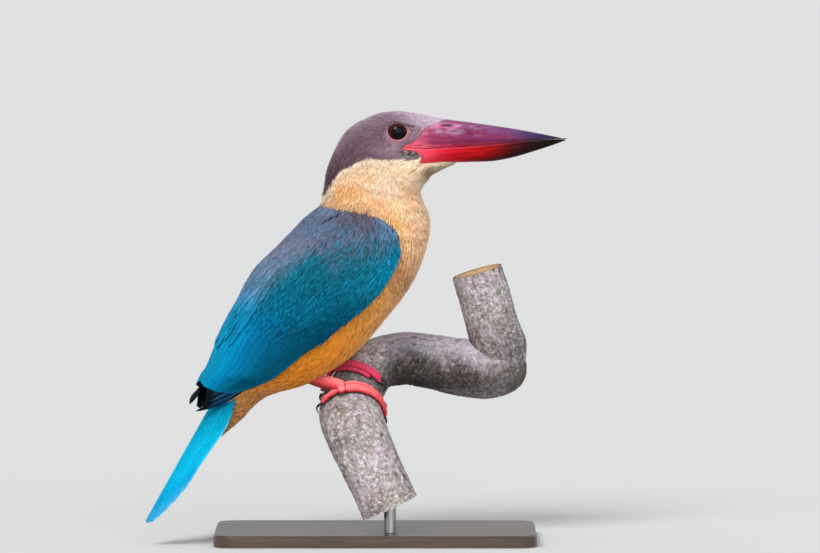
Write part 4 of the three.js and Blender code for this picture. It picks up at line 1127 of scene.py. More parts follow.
def vane_meshes(pile, surface, S, A, half, heights, tilt, ventral, colour, ident, uv_at, uv_size, thick=0.15, shape=None, cross=(-1, -0.55, 0, 0.55, 1), camber=0.25,
                rag=None, split=None, rng=None, colour_fn=None, skew=0.0):
    """Closed vanes along chart lines S, A of (stations, feathers). heights is (stations, feathers), over the skin. tilt lifts
    the ventral side. The cross-section lies over the surface. colour is (feathers, 3) or comes from colour_fn(s, a, tau, u)."""
    m, n = S.shape
    P0 = surface.at(S, A, heights)
    seg = np.linalg.norm(np.diff(P0, axis=0), axis=-1)
    arc = np.concatenate([np.zeros((1, n)), np.cumsum(seg, 0)])
    length = arc[-1]
    tau = arc / length
    T = unit(np.gradient(P0, axis=0))
    _, ps, pa, N = surface.frame(S, A, heights)
    B = unit(np.cross(N, T)) * ventral[None, :, None]
    cross = np.asarray(cross, float)
    w = half[None] * (shape(tau) if shape else vane_shape(tau))
    top, us = [], []
    for u in cross:
        off = u * w * (1 + (skew * np.sign(u) if skew else 0))
        if rag is not None and abs(u) == 1:
            off = off * (1 - rag * rng.random((m, n)))
        if split is not None and abs(u) == 1:
            off = off * (1 - split * (rng.random((m, n)) < 0.07) * (tau > 0.4))
        ds, da = surface.step(S, A, heights, B * off[..., None])
        h = heights + tilt * u - camber * u * u * np.minimum(w, 6) / 6
        top.append(surface.at(S + ds, A + da, h) + N * (thick * (1 - u * u) + 0.02))
        us.append(np.full((m, n), u))
    low = []
    for u in cross[1:-1][::-1]:
        off = u * w
        ds, da = surface.step(S, A, heights, B * off[..., None])
        h = heights + tilt * u - camber * u * u * np.minimum(w, 6) / 6
        low.append(surface.at(S + ds, A + da, h) - N * (thick * 0.8 * (1 - u * u) + 0.03))
        us.append(np.full((m, n), u))
    ring = np.array(top + low)  # (k, m, n, 3)
    k = ring.shape[0]
    V = ring.transpose(2, 1, 0, 3)  # feather, station, round
    U = np.array(us).transpose(2, 1, 0)
    TA = np.repeat(tau.T[:, :, None], k, 2)
    ARC = np.repeat(arc.T[:, :, None], k, 2)
    W = np.repeat(w.T[:, :, None], k, 2)
    per = m * k + 2
    flatv = np.concatenate([V.reshape(n, m * k, 3), V[:, 0].mean(1)[:, None], V[:, -1].mean(1)[:, None]], 1)
    f4 = grid_faces(m, k, True)
    f3 = np.concatenate([fan(m * k, np.arange(k)), fan(m * k + 1, (m - 1) * k + np.arange(k), True)])
    one3, one4 = outward(flatv[0] - flatv[0].mean(0), f3, f4)
    for i in range(n):  # mirrored feathers wind the other way
        pass
    def tiled(f):
        return (f[None] + (np.arange(n) * per)[:, None, None])
    same = np.ones(n, bool)
    for i in range(n):
        v = flatv[i] - flatv[i].mean(0)
        t = np.concatenate([f3, f4[:, [0, 1, 2]], f4[:, [0, 2, 3]]])
        same[i] = np.einsum("ij,ij->i", v[t[:, 0]], np.cross(v[t[:, 1]], v[t[:, 2]])).sum() > 0
    F3, F4 = tiled(f3), tiled(f4)
    F3[~same] = F3[~same][:, :, ::-1]
    F4[~same] = F4[~same][:, :, ::-1]
    sA = np.repeat(S.T[:, :, None], k, 2)
    aA = np.repeat(A.T[:, :, None], k, 2)
    if colour_fn is not None:
        C = colour_fn(sA, aA, TA, U, np.arange(n))
    else:
        C = np.repeat(np.repeat(colour[:, None, None], m, 1), k, 2)
    ends = lambda X: np.concatenate([X.reshape(n, m * k, -1), X[:, 0].mean(1)[:, None].reshape(n, 1, -1), X[:, -1].mean(1)[:, None].reshape(n, 1, -1)], 1)
    lat = U * W
    vane = np.stack([lat, ARC, np.repeat(np.repeat(ident[:, None, None], m, 1), k, 2)], -1)
    su, sv = uv_size
    UV = uv_at[:, None, None] + np.stack([0.5 * U * su, TA * sv], -1)
    pile.add(flatv.reshape(-1, 3), F3.reshape(-1, 3), F4.reshape(-1, 4), ends(C).reshape(-1, 3), ends(UV).reshape(-1, 2), ends(vane).reshape(-1, 3))


def wing_uv(s, a):
    u = 0.5 + 0.485 * np.clip(a, -math.pi, math.pi) / math.pi
    return np.stack([u, 0.02 + 0.95 * np.clip(s, 0, 9) / 9.0], -1)


def wing_colour(s, a):
    """Colour of the wing's upper side in the wing's chart."""
    p = section_point(WING_STATIONS, s, np.abs(a), 0.0)
    x, z = p[..., 0], p[..., 2]
    n1 = fbm(p, 11.0, 3, 55)
    n2 = fbm(p * [1, 1, 0.5], 4.5, 2, 56)
    q = np.abs(a)
    down = s + 0.9 * (n1 - 0.5) + 0.5 * (n2 - 0.5)
    c = mix(rgb("5f4e59"), rgb("5f6f86"), smooth(0.75, 1.4, down))
    c = mix(c, rgb("456f88"), smooth(1.2, 1.9, down))
    c = mix(c, rgb("12687e"), smooth(1.8, 2.8, down + 0.35 * (q - 1.2)))
    c = mix(c, rgb("066c8a"), smooth(2.9, 4.0, down))
    c = mix(c, rgb("00506c"), 0.8 * smooth(3.3, 4.1, s) * smooth(1.42, 1.72, q))
    # the flight feathers: azure along the back and at their ends, deep teal-blue below
    high = ramp(q, [(0.1, "007a9e"), (0.45, "00729c"), (0.8, "005a80"), (1.15, "004c6c"), (1.4, "00475f"), (1.7, "003a50")])
    low = ramp(q, [(0.1, "007696"), (0.75, "006893"), (1.2, "005674"), (1.6, "00485e")])
    fly = mix(high, low, smooth(5.3, 6.3, s))
    c = mix(c, fly, smooth(3.9, 4.6, s + 0.3 * (n1 - 0.5)))
    # the wrist and the leading edge: clearer blue
    edge = 1 - smooth(3.0, 14.0, outline_distance(WING_AREA, x, z) + 6 * (n2 - 0.5))
    c = mix(c, rgb("5f82a2"), 0.8 * smooth(1.42, 1.66, q) * smooth(0.7, 1.0, s) * (1 - smooth(1.3, 1.7, s)))
    c = mix(c, rgb("007a9e"), 0.9 * edge * smooth(1.4, 2.1, s) * (1 - smooth(2.8, 3.5, s)))
    # a mauve wash
    c = mix(c, rgb("74708e"), 0.5 * smooth(0.54, 0.68, fbm(p, 9.0, 2, 91)) * smooth(0.8, 1.6, s) * (1 - smooth(2.0, 3.2, s)) * (1 - smooth(1.3, 1.6, q)))
    c = c * (1 + 0.35 * smooth(1.58, 1.72, q) * smooth(2.0, 2.4, s) * (1 - smooth(3.2, 3.7, s)))[..., None]
    # the back: greyer
    back = 1 - smooth(0.35, 1.0, q + 0.15 * (s - 2.5))
    grey = ramp(s, [(1.2, "6d7f99"), (1.9, "8b8aa5"), (2.8, "7888a0"), (3.5, "5f86a6"), (4.2, "2f86b4")])
    c = mix(c, grey, 0.9 * back * (1 - smooth(3.7, 4.6, s)))
    # painted shade: a dark slit where the mantle's feathers end over the wing's top
    slit = np.abs(s - np.interp(q, [0.6, 0.81, 0.98], [1.01, 0.78, 0.59]))
    return mix(c, rgb("15121c"), 0.8 * (1 - smooth(0.02, 0.06, slit)) * smooth(0.56, 0.62, q) * (1 - smooth(0.96, 1.04, q)))


def soft_colour(s, q):
    """Painted light: the loose coverts are painted brighter where they run out over the flight feathers, against the
    shade among their locks.
    """
    painted_light_gain = 0.22 * smooth(4.15, 4.6, s) + 0.45 * smooth(3.9, 4.5, s) * smooth(0.45, 0.9, q)
    return wing_colour(s, q) * (1 + painted_light_gain)[..., None]


def wing_tint(c, luck, s, a):
    """Feathers of one patch differ: some keep a grey-brown base, some show clear teal."""
    high = smooth(0.7, 1.2, s) * (1 - smooth(1.8, 2.8, s)) * (1 - smooth(1.45, 1.7, np.abs(a)) * smooth(1.0, 1.3, s))
    zone = smooth(0.9, 1.5, s) * (1 - smooth(3.3, 4.2, s))
    c = mix(c, rgb("635f78"), 0.5 * (luck < 0.24) * high)
    c = mix(c, rgb("0e4a5c"), 0.34 * ((luck > 0.3) & (luck < 0.46)) * zone)
    c = mix(c, rgb("0094b4"), 0.30 * (luck > 0.76) * zone)
    return c


def ring_rows(surface, s_of_row, a_lo, a_hi, spacing, seed, jitter=0.18):
    """Feather roots in rows across the lie, each row shifted half a place from the one before."""
    rng = np.random.default_rng(seed)
    S, A = [], []
    for r, s0 in enumerate(s_of_row):
        lo, hi = a_lo(s0), a_hi(s0)
        a = np.linspace(lo, hi, 400)
        p = surface.at(np.full(400, s0), a, np.zeros(400))
        arc = np.concatenate([[0], np.cumsum(np.linalg.norm(np.diff(p, axis=0), axis=-1))])
        d = spacing(s0)
        count = max(int(arc[-1] / d), 1)
        at = (np.arange(count) + (0.5 if r % 2 else 0.0) + 0.25) * d + rng.normal(0, jitter, count) * d
        at = at[(at > 0) & (at < arc[-1])]
        A.append(np.interp(at, arc, a))
        S.append(s0 + rng.normal(0, jitter * 0.35, len(at)) * 0.25)
    return np.concatenate(S), np.concatenate(A)


def edge_angle(s, margin=0.0):
    """The chart angle of the wing's lower edge at station s."""
    return np.interp(s, EDGE_S, EDGE_A) - margin


EDGE_S = np.array([0.3, 0.46, 0.57, 0.79, 1.18, 1.65, 2.2, 2.81, 3.45, 4.06, 4.64, 5.25, 5.86, 6.74, 7.33, 7.98, 8.5, 9.0])
EDGE_A = np.array([0.0, 0.75, 1.33, 1.60, 1.80, 1.94, 2.0, 2.02, 2.0, 1.895, 1.76, 1.685, 1.665, 1.765, 1.84, 2.065, 2.35, 2.9])


def wing_side(mat_covert, mat_flight, mat_primary, mat_soft, side):
    word = "right" if side > 0 else "left"
    rng = np.random.default_rng(500 + (0 if side > 0 else 1))

    # ---- the wing's board: a thin shell under the feathers, so nothing shows through
    ss = np.linspace(1.25, 8.4, 96)
    cols = 40
    S = np.repeat(ss[:, None], cols, 1)
    first = np.interp(ss, [7.2, 7.5, 7.8, 8.1, 8.4], [0.0, 0.45, 0.95, 1.4, 1.75])
    A = np.array([np.linspace(lo, max(edge_angle(v) - 0.015, lo + 0.1), cols) for lo, v in zip(first, ss)])
    upper = WING.at(S, A * side, -0.35 + 0 * S)
    lower = WING.at(S, A * side, -1.3 + 0 * S)
    V = np.concatenate([upper, lower[:, ::-1]], 1)
    verts, f3, f4 = closed_tube(V)
    f3, f4 = outward(verts, f3, f4)
    cc = mix(mix(mix(rgb("564a58"), rgb("0c4258"), smooth(1.5, 2.6, S)), rgb("023f5c"), smooth(3, 5, S)), rgb("070b10"), smooth(6.0, 6.7, S + 1.6 * smooth(1.3, 1.75, A)))
    C = np.concatenate([cc, cc[:, ::-1]], 1).reshape(-1, 3)
    board = Pile()
    uvb = wing_uv(np.concatenate([S, S], 1), np.concatenate([A, A[:, ::-1]], 1) * side).reshape(-1, 2)
    board.add(verts, f3, f4, np.concatenate([C, C[:1], C[-1:]]), np.concatenate([uvb, uvb[:1], uvb[-1:]]))

    # ---- primaries
    prim = Pile()
    n = 9
    k = np.arange(n) / (n - 1.0)
    m = 44
    f = (1 - (1 - np.linspace(0, 1, m)) ** 1.35)[:, None]
    s0, a0 = 4.3 + 0.5 * k, edge_angle(4.5) - 0.10 + 0 * k
    if side > 0:
        s1 = 7.75 + 1.05 * k
        a1 = np.interp(k, [0, 0.25, 0.5, 0.75, 1.0], [0.95, 1.25, 1.55, 1.8, 1.95])
    else:
        s1 = np.interp(k, [0, 0.5, 0.75, 0.9, 1.0], [7.0, 7.2, 7.3, 7.4, 8.62])
        a1 = np.interp(k, [0, 0.5, 0.8, 1.0], [1.7, 1.5, 1.0, 0.42])
    S = s0 + (s1 - s0) * f
    # the outer ones keep to the lower edge
    A = np.minimum(a0 + (a1 - a0) * f ** 1.2, edge_angle(S) - 0.10 - 0.05 * (1 - k))
    A = A + 0.0
    half = 3.4 - 0.7 * k
    h = (0.15 + 0.10 * (1 - k) * 8 / 8 + 0 * f) + 0.25 * f
    def prim_colour(s, a, t, u, i):
        c = mix(rgb("06101c"), rgb("050609"), smooth(0.5, 0.85, t))
        outer = smooth(0.0, 0.9, u)
        c = mix(c, rgb("1f6c98"), np.clip(1.1 * outer * (1 - smooth(0.88, 0.98, t)) * (0.12 + 0.8 * ((np.asarray(i) % 2) == 1))[:, None, None], 0, 0.75))
        return mix(c, rgb("1d2430"), 0.4 * smooth(0.93, 1.0, np.abs(u)) * smooth(0.3, 0.6, t))
    grid = lambda i, per: np.stack([(i % per + 0.5) / per, (i // per) * 0.0 + 0.02], -1)
    lean = 0.22 + (2.2 * (k > 0.95) * smooth(0.5, 0.8, f) * (1 - np.clip((f - 0.78) / 0.22, 0, 1) ** 1.6) if side < 0 else 0.0 * f * k)
    vane_meshes(prim, WING, S, A * side, half, h, lean, np.full(n, float(side)), None, rng.random(n), grid(np.arange(n), n), (0.09, 0.94), thick=0.16,
                shape=lambda t: vane_shape(t, 0.72, 0.6, 1.4), camber=0.35, rag=0.015, rng=rng, colour_fn=prim_colour)
    prim.make("primaries_" + word + "_vanes", "primary_feathers", mat_primary, ["primaries_" + word])

    # ---- secondaries and tertials, lowest first
    fly = Pile()
    n = 15
    k = np.arange(n) / (n - 1.0)
    m = 56
    f = (1 - (1 - np.linspace(0, 1, m)) ** 1.4)[:, None]
    s0 = 3.3 - 0.5 * k
    a0 = 1.78 - 1.66 * k
    s1 = np.interp(k, [0, 0.12, 0.25, 0.4, 0.6, 0.8, 1.0], [6.05, 6.6, 7.1, 7.42, 7.5, 7.5, 7.38])
    a1 = np.interp(k, [0, 0.12, 0.25, 0.4, 0.6, 0.8, 1.0], [1.40, 1.46, 1.46, 1.36, 0.94, 0.46, 0.13])
    S = s0 + (s1 - s0) * f
    A = a0 + (a1 - a0) * f ** 1.3
    half = np.interp(k, [0, 0.5, 1], [5.2, 6.2, 6.0])
    h = 0.75 + 0.15 * k + 0.55 * f ** 0.8
    h = h + 0.04 * rng.normal(0, 1, n) * f
    tone = 1 + 0.025 * rng.normal(0, 1, n)
    def fly_colour(s, a, t, u, i):
        c = wing_colour(s, a)
        c = c * tone[i][:, None, None, None]
        lowk = (k[i] < 0.36)[:, None, None]
        c = mix(c, rgb("2a93c6"), (0.10 + 0.30 * lowk) * smooth(0.86, 1.0, u) * smooth(4.5, 5.5, s))
        # painted shade on the half of each vane that lies under its neighbour
        c = c * (1 - 0.10 * smooth(-0.2, -1.0, u))[..., None]
        c = mix(c, rgb("06283c"), 0.12 * (1 - smooth(0.0, 0.045, np.abs(u))))
        low = smooth(-0.16, -0.02, np.abs(a) - edge_angle(s)) * smooth(4.0, 4.8, s)
        return mix(c, rgb("03141f"), 0.85 * low)
    vane_meshes(fly, WING, S, A * side, half, h, np.full(n, 0.16)[None], np.full(n, float(side)), None, rng.random(n), grid(np.arange(n), n), (0.055, 0.94), thick=0.12,
                shape=lambda t: vane_shape(t, 0.86, 0.7), camber=0.3, rag=0.03, split=0.10, rng=rng, colour_fn=fly_colour, cross=(-1, -0.7, -0.35, 0, 0.35, 0.7, 0.93, 1))
    n0 = fly.n
    fly.make("flight_" + word + "_vanes", "wing_feathers", mat_flight)

    # ---- greater coverts: two rows of vanes
    cov = board
    spec = [(np.array([3.75, 4.1]), 4.4, 17.0, 3.0, 1.12, 0.10), (np.array([3.1, 3.42]), 4.2, 17.0, 2.9, 1.22, 0.16), (np.array([2.45, 2.78]), 4.0, 14.0, 2.8, 1.35, 0.22)]
    for g, (rows, gap, length, halfw, base, rise) in enumerate(spec):
        s, a = ring_rows(WING, rows, lambda v: 0.10, lambda v: edge_angle(v) - 0.04, lambda v: gap, 700 + g + (10 if side < 0 else 0))
        n = len(s)
        m = 14
        fr = 1 - (1 - np.linspace(0, 1, m)) ** 1.35
        L = length * (1 + 0.08 * rng.normal(0, 1, n))
        edge = edge_angle(s) - a
        L = L * (0.75 + 0.25 * smooth(0.0, 0.5, edge))
        lie = wing_lean(s, a) + 0.05 * rng.normal(0, 1, n)
        hs = base + rise * fr[:, None] ** 0.8 + 0.06 * rng.normal(0, 1, n)[None]
        hs = hs - 0.4 * (1 - smooth(0.0, 0.25, edge))[None]
        sS, aA, P, N, T = march(WING, s, a * side, lie * side, L, hs, fr)
        limit = edge_angle(sS) - 0.02
        aA = np.where(np.abs(aA) > limit, limit * side, aA)
        aA = np.where(aA * side < 0.02, 0.02 * side, aA)
        tone = 1 + 0.04 * rng.normal(0, 1, n)
        luck = rng.random(n)
        def cov_colour(s_, a_, t, u, i):
            c = wing_tint(wing_colour(s_, a_), luck[i][:, None, None] + 0 * s_, s_, a_) * tone[i][:, None, None, None]
            # painted light where the coverts run out over the flight feathers, against the shade among them; painted
            # shade towards each root, where the feather above covers it
            c = c * (1 + 0.30 * smooth(3.8, 4.6, s_))[..., None]
            c = c * (0.96 + 0.07 * smooth(0.4, 1.0, t))[..., None]
            return c * (1 - 0.06 * (1 - smooth(0.0, 0.08, np.abs(u))) * (t > 0.2))[..., None]
        hw = halfw * (1 + 0.08 * rng.normal(0, 1, n))
        vane_meshes(cov, WING, sS, aA, hw, hs, (0.07 + 0.02 * rng.normal(0, 1, n))[None], np.full(n, float(side)), None, rng.random(n), wing_uv(s, a * side), (0.0028, 0.0028), thick=0.05,
                    shape=lambda t: vane_shape(t, 0.45, 0.5, 1.5), camber=0.12, rag=0.12, rng=rng, colour_fn=cov_colour)
    ob = cov.make("coverts_" + word + "_vanes", "wing_feathers", mat_covert, ["wing_" + word])
    print("coverts", word, sum(len(x) for x in cov.f3) + 2 * sum(len(x) for x in cov.f4), "triangles; flight", sum(len(x) for x in fly.f3) + 2 * sum(len(x) for x in fly.f4))

    # ---- lesser and median coverts: small loose feathers of several locks
    def keep(s, a):
        x, z = side_view(s, a, WING_STATIONS)
        return ((outline_distance(WING_AREA, x, z) > -0.9) & (np.abs(a) < edge_angle(s) - 0.005)).astype(float)
    s, a = scatter(WING, 0.30, 4.75, 0.02, 2.16, lambda s, a: 1.45 + 0.25 * smooth(1, 3, s) + 0.3 * smooth(3.6, 4.7, s), keep, 760 + (10 if side < 0 else 0))
    soft = Pile()
    a = a * side
    grow = smooth(0.6, 3.0, s)
    coat(soft, WING, s, a, 6.0 + 6.0 * grow, 0.58 + 0.20 * grow, 4, 0.085, 780, lift=0.88 - 0.10 * smooth(2.6, 3.8, s) - 0.28 * smooth(3.8, 4.7, s), colour=lambda s, a: (soft_colour(s, np.abs(a)), 0), avoid=wing_avoid, root=0.55, shade=(0.9, 1.06),
         uv=wing_uv, lean=lambda s, a: wing_lean(s, np.abs(a)) * np.sign(a), tint=wing_tint, lie_noise=0.035, flow=0.06, flat_lock=0.11)
    soft.make("coverts_" + word + "_soft", "wing_feathers", mat_soft)
    print("soft coverts", word, len(s), sum(len(x) for x in soft.f3))


def wing_lean(s, a):
    """How far the lie turns towards the lower edge, in radians; a is taken positive."""
    edge = edge_angle(s) - a
    near = 1 - smooth(0.0, 0.9, edge)
    slope = np.interp(s, [0.3, 1.2, 2.6, 3.45, 4.2, 5.25, 6.0], [0.32, 0.22, 0.10, -0.12, -0.30, -0.16, 0.0])
    mid = 0.12 * np.exp(-((a - 0.9) / 0.5) ** 2)
    return near * slope + (1 - near) * mid


def wing_avoid(s, a):
    x, z = side_view(s, a, WING_STATIONS)
    return (outline_distance(WING_AREA, x, z) < -1.7) | (np.abs(a) > edge_angle(s) + 0.03)


def build_mantle(mat, mat_soft):
    """Mantle and scapulars: over both wings, from the neck down the back."""
    rng = np.random.default_rng(900)
    pile = Pile()
    rows = np.arange(2.3, 4.5, 0.5)
    s, a = ring_rows(WING, rows, lambda v: -0.62, lambda v: 0.62, lambda v: 4.4, 950)
    n = len(s)
    m = 16
    fr = 1 - (1 - np.linspace(0, 1, m)) ** 1.35
    L = 23.0 * (1 + 0.08 * rng.normal(0, 1, n))
    lie = 0.05 * rng.normal(0, 1, n) - 0.03 * np.sign(a)
    hs = 1.55 + 0.5 * fr[:, None] ** 0.8 + 0.06 * rng.normal(0, 1, n)[None]
    sS, aA, P, N, T = march(WING, s, a, lie, L, hs, fr)
    tone = 1 + 0.08 * rng.normal(0, 1, n)
    def col(s_, a_, t, u, i):
        c = wing_colour(s_, a_) * tone[i][:, None, None, None]
        # painted shade towards each root, where the feather above covers it
        c = c * (0.82 + 0.2 * smooth(0.4, 1.0, t))[..., None]
        rim = np.clip(smooth(0.75, 1.0, u * np.where(a_ > 0, 1, 1)) + smooth(0.93, 1.0, t), 0, 1)
        return mix(c, rgb("8298b8"), 0.14 * rim * (np.abs(a_) < 0.75) * (1 - smooth(3.4, 4.4, s_)))
    vane_meshes(pile, WING, sS, aA, 2.9 * (1 + 0.08 * rng.normal(0, 1, n)), hs, (0.10 * np.ones(n))[None], np.where(a > 0, 1.0, -1.0), None, rng.random(n), wing_uv(s, a), (0.0028, 0.0028),
                thick=0.07, shape=lambda t: vane_shape(t, 0.6, 0.5, 1.2), camber=0.16, rag=0.12, rng=rng, colour_fn=col)
    pile.make("scapular_vanes", "wing_feathers", mat)
    def keep(s, a):
        x, z = side_view(s, a, WING_STATIONS)
        return ((outline_distance(WING_AREA, x, z) > -0.4) & (np.abs(a) < np.interp(s, [0.1, 0.7, 1.6, 3.4], [1.5, 1.15, 0.75, 0.5]))).astype(float)
    s, a = scatter(WING, 0.12, 3.4, -1.6, 1.6, lambda s, a: 1.35 + 0.35 * smooth(0.5, 2.5, s), keep, 970)
    soft = Pile()
    grow = smooth(0.2, 2.6, s)
    coat(soft, WING, s, a, 4.5 + 5.5 * grow, 0.55 + 0.3 * grow, 4, 0.13, 975, lift=0.5 + 0.46 * smooth(0.3, 1.5, s), colour=lambda s, a: (wing_colour(s, a), 0), root=0.0, shade=(0.86, 1.06),
         uv=wing_uv, tint=wing_tint, lie_noise=0.045, flow=0.10, flat_lock=0.14)
    soft.make("mantle_soft", "wing_feathers", mat_soft)
    print("mantle", n, len(s), sum(len(x) for x in pile.f3) + 2 * sum(len(x) for x in pile.f4), sum(len(x) for x in soft.f3), "triangles")


# ---------------------------------------------------------------- tail

TAIL_ROOT, TAIL_END = np.array([-71.5, 100.0]), np.array([-120.2, 13.2])
TAIL_HALF, TAIL_DROP = 16.5, 4.8
TAIL_SHAPE = np.array([[0.0, 0.95], [0.16, 1.05], [0.34, 1.02], [0.5, 1.0], [0.7, 0.9], [0.85, 0.72], [0.94, 0.52], [1.0, 0.24]])
_td = (TAIL_END - TAIL_ROOT) / np.linalg.norm(TAIL_END - TAIL_ROOT)
TAIL_LENGTH = float(np.linalg.norm(TAIL_END - TAIL_ROOT))


def tail_point(t, across, h):
    """t down the tail (0..1), across in mm (left positive), h over the middle of its thickness."""
    t, across, h = np.broadcast_arrays(np.asarray(t, float), np.asarray(across, float), np.asarray(h, float))
    width = TAIL_HALF * np.interp(t, TAIL_SHAPE[:, 0], TAIL_SHAPE[:, 1])
    u = across / TAIL_HALF
    drop = TAIL_DROP * (1 + 0.5 * smooth(0.08, 0.2, t) * (1 - smooth(0.25, 0.6, t))) * (np.sqrt(u * u + 0.03 * (width / TAIL_HALF) ** 2) - math.sqrt(0.03) * width / TAIL_HALF) * 1.05
    under = np.array([-_td[1], _td[0]])
    x = TAIL_ROOT[0] + _td[0] * t * TAIL_LENGTH + under[0] * (drop - h)
    z = TAIL_ROOT[1] + _td[1] * t * TAIL_LENGTH + under[1] * (drop - h)
    left = np.array([-math.sin(YAW), math.cos(YAW)])
    y = math.tan(YAW) * (x - PIVOT_X)
    return np.stack([x + left[0] * across, y + left[1] * across, z], -1)


def build_tail(mat):
    rng = np.random.default_rng(1200)
    pile = Pile()
    m, cross = 90, np.array([-1, -0.75, -0.4, -0.06, 0.0, 0.06, 0.4, 0.75, 1])
    order = []
    for pair in range(6):
        for side in (-1, 1):
            order.append((pair, side))
    for idx, (pair, side) in enumerate(order):
        c_mid = side * (1.9 + 2.55 * pair)
        end = [1.0, 0.985, 0.95, 0.905, 0.85, 0.78][pair] - (0.006 if side > 0 else 0)
        half = 4.6 if pair < 5 else 4.2
        tau = 1 - (1 - np.linspace(0, 1, m)) ** 1.3
        t = tau * end
        centre = side * abs(c_mid) * (0.55 + 0.45 * smooth(0, 0.45, tau)) * (1 - 0.12 * smooth(0.6, 1.0, tau))
        w = half * (0.55 + 0.45 * smooth(0, 0.3, tau)) * (1 - np.clip((tau - 0.86) / 0.14, 0, 1) ** 2.2) ** 0.5
        w = np.maximum(w, 0.05)
        level = 0.85 - 0.24 * pair + (0.06 if side > 0 else 0)
        level = level + 0.25 * tau
        ring = []
        for u in cross:
            edge = abs(u) == 1
            ww = w * (1 - (0.06 * rng.random(m) + 0.16 * (rng.random(m) < 0.05)) * edge * (tau > 0.2))
            a = centre + u * ww
            # outer side lies lower than the feather above it
            h = level - 0.34 * (u * side) * 1.0 - 0.18 * u * u + 0.10 * np.exp(-(u / 0.07) ** 2)
            ring.append(tail_point(t, a, h + 0.10 * (1 - u * u)))
        for u in cross[1:-1][::-1]:
            a = centre + u * w
            h = level - 0.34 * (u * side) - 0.18 * u * u
            ring.append(tail_point(t, a, h - 0.12 * (1 - u * u) - 0.03))
        R = np.array(ring).transpose(1, 0, 2)
        verts, f3, f4 = closed_tube(R)
        f3, f4 = outward(verts, f3, f4)
        U = np.concatenate([cross, cross[1:-1][::-1]])
        UU, TT = np.meshgrid(U, tau)
        # darker towards the root: painted shade where the tail's root lies under the coverts and the wing tips
        base = ramp(TT, [(0, "003c50"), (0.18, "00506a"), (0.26, "006e8a"), (0.34, "007f9e"), (0.5, "0094b6"), (0.7, "0099be"), (0.86, "0089b8"), (1, "2f8cb8")])
        tone = 1 + 0.06 * rng.normal()
        c = base * tone
        c = c * (1 - 0.18 * smooth(-0.1, -1, UU * side))[..., None]
        c = mix(c, rgb("0a4a74"), 0.55 * smooth(0.62, 0.72, UU) * (1 - smooth(0.8, 0.88, UU)) * smooth(0.3, 0.5, TT) * (pair < 2) * (side > 0))
        c = mix(c, rgb("04465f"), 0.5 * smooth(0.5, 0.62, UU) * (1 - smooth(0.74, 0.84, UU)) * smooth(0.25, 0.5, TT) * (pair in (0, 2)))
        c = mix(c, rgb("8fdcf0"), 0.6 * smooth(0.84, 0.97, UU * side) * smooth(0.25, 0.45, TT))
        c = mix(c, rgb("0b3c58"), 0.25 * (1 - smooth(0.0, 0.09, np.abs(UU))))
        arc = TT * end * TAIL_LENGTH
        vane = np.stack([UU * w[:, None], arc, np.full_like(arc, rng.random())], -1)
        uv = np.stack([(idx + 0.5 + 0.45 * UU) / 12.0, 0.02 + 0.95 * TT], -1)
        e = lambda X: np.concatenate([X.reshape(-1, X.shape[-1]), X[0].mean(0)[None], X[-1].mean(0)[None]])
        pile.add(verts, f3, f4, e(c), e(uv), e(vane))
    # upper tail coverts, laid over the root
    for i in range(26):
        side = 1 if i % 2 else -1
        row = i // 2
        c_mid = side * (1.2 + 1.25 * (row % 9)) + rng.normal(0, 0.4)
        t0, t1 = 0.0 + 0.02 * rng.random(), (0.23 if row < 9 else 0.17) + 0.04 * rng.random() - 0.008 * (row % 9)
        mm = 24
        tau = 1 - (1 - np.linspace(0, 1, mm)) ** 1.3
        t = t0 + (t1 - t0) * tau
        w = 3.2 * (0.5 + 0.5 * smooth(0, 0.3, tau)) * np.maximum(1 - np.clip((tau - 0.6) / 0.4, 0, 1) ** 2.2, 1e-3) ** 0.5
        ring = []
        for u in cross:
            h = 1.3 + 0.1 * tau - 0.25 * u * u + 0.1 * (row >= 9)
            ring.append(tail_point(t, c_mid + u * w, h + 0.1 * (1 - u * u)))
        for u in cross[1:-1][::-1]:
            h = 1.3 + 0.1 * tau - 0.25 * u * u + 0.1 * (row >= 9)
            ring.append(tail_point(t, c_mid + u * w, h - 0.12 * (1 - u * u) - 0.03))
        R = np.array(ring).transpose(1, 0, 2)
        verts, f3, f4 = closed_tube(R)
        f3, f4 = outward(verts, f3, f4)
        U = np.concatenate([cross, cross[1:-1][::-1]])
        UU, TT = np.meshgrid(U, tau)
        c = ramp(TT, [(0, "00445a"), (0.6, "00617c"), (1, "00799a")]) * (1 + 0.03 * rng.normal())
        arc = TT * 30.0
        vane = np.stack([UU * w[:, None], arc, np.full_like(arc, rng.random())], -1)
        uv = np.stack([(i + 0.5 + 0.45 * UU) / 26.0, 0.975 + 0.02 * TT], -1)
        e = lambda X: np.concatenate([X.reshape(-1, X.shape[-1]), X[0].mean(0)[None], X[-1].mean(0)[None]])
        pile.add(verts, f3, f4, e(c), e(uv), e(vane))
    pile.make("tail_vanes", "tail_feathers", mat, ["tail"])


# ---------------------------------------------------------------- perch

BRANCH = np.array([
    [19.5, -33, 22, 16.8], [12.6, -33, 37, 16.6], [5.2, -31, 53, 17.2], [-0.2, -24, 65, 17.8], [-3.6, -11, 74, 18.0],
    [-1.8, 8, 84, 16.2], [9.0, 26, 99, 15.2], [26.0, 33, 103.4, 15.3], [44.0, 35, 101.5, 15.8], [62.0, 35, 98.2, 16.8],
    [76.0, 34, 97.6, 17.4], [88.0, 33, 99.4, 15.6], [95.0, 32, 101.0, 10.5], [98.4, 31.5, 102.0, 3.0],
])
FORK = np.array([[87.0, 32.5, 98.0, 12.0], [83.6, 32, 110.0, 16.0], [79.4, 31, 123.0, 15.2], [74.8, 30, 139.0, 15.0], [70.2, 29, 155.0, 14.8]])


def branch_tangent(s, rows=BRANCH):
    lo, hi = max(s - 0.02, 0), min(s + 0.02, len(rows) - 1)
    return unit(spline(rows, np.array(hi))[:3] - spline(rows, np.array(lo))[:3])


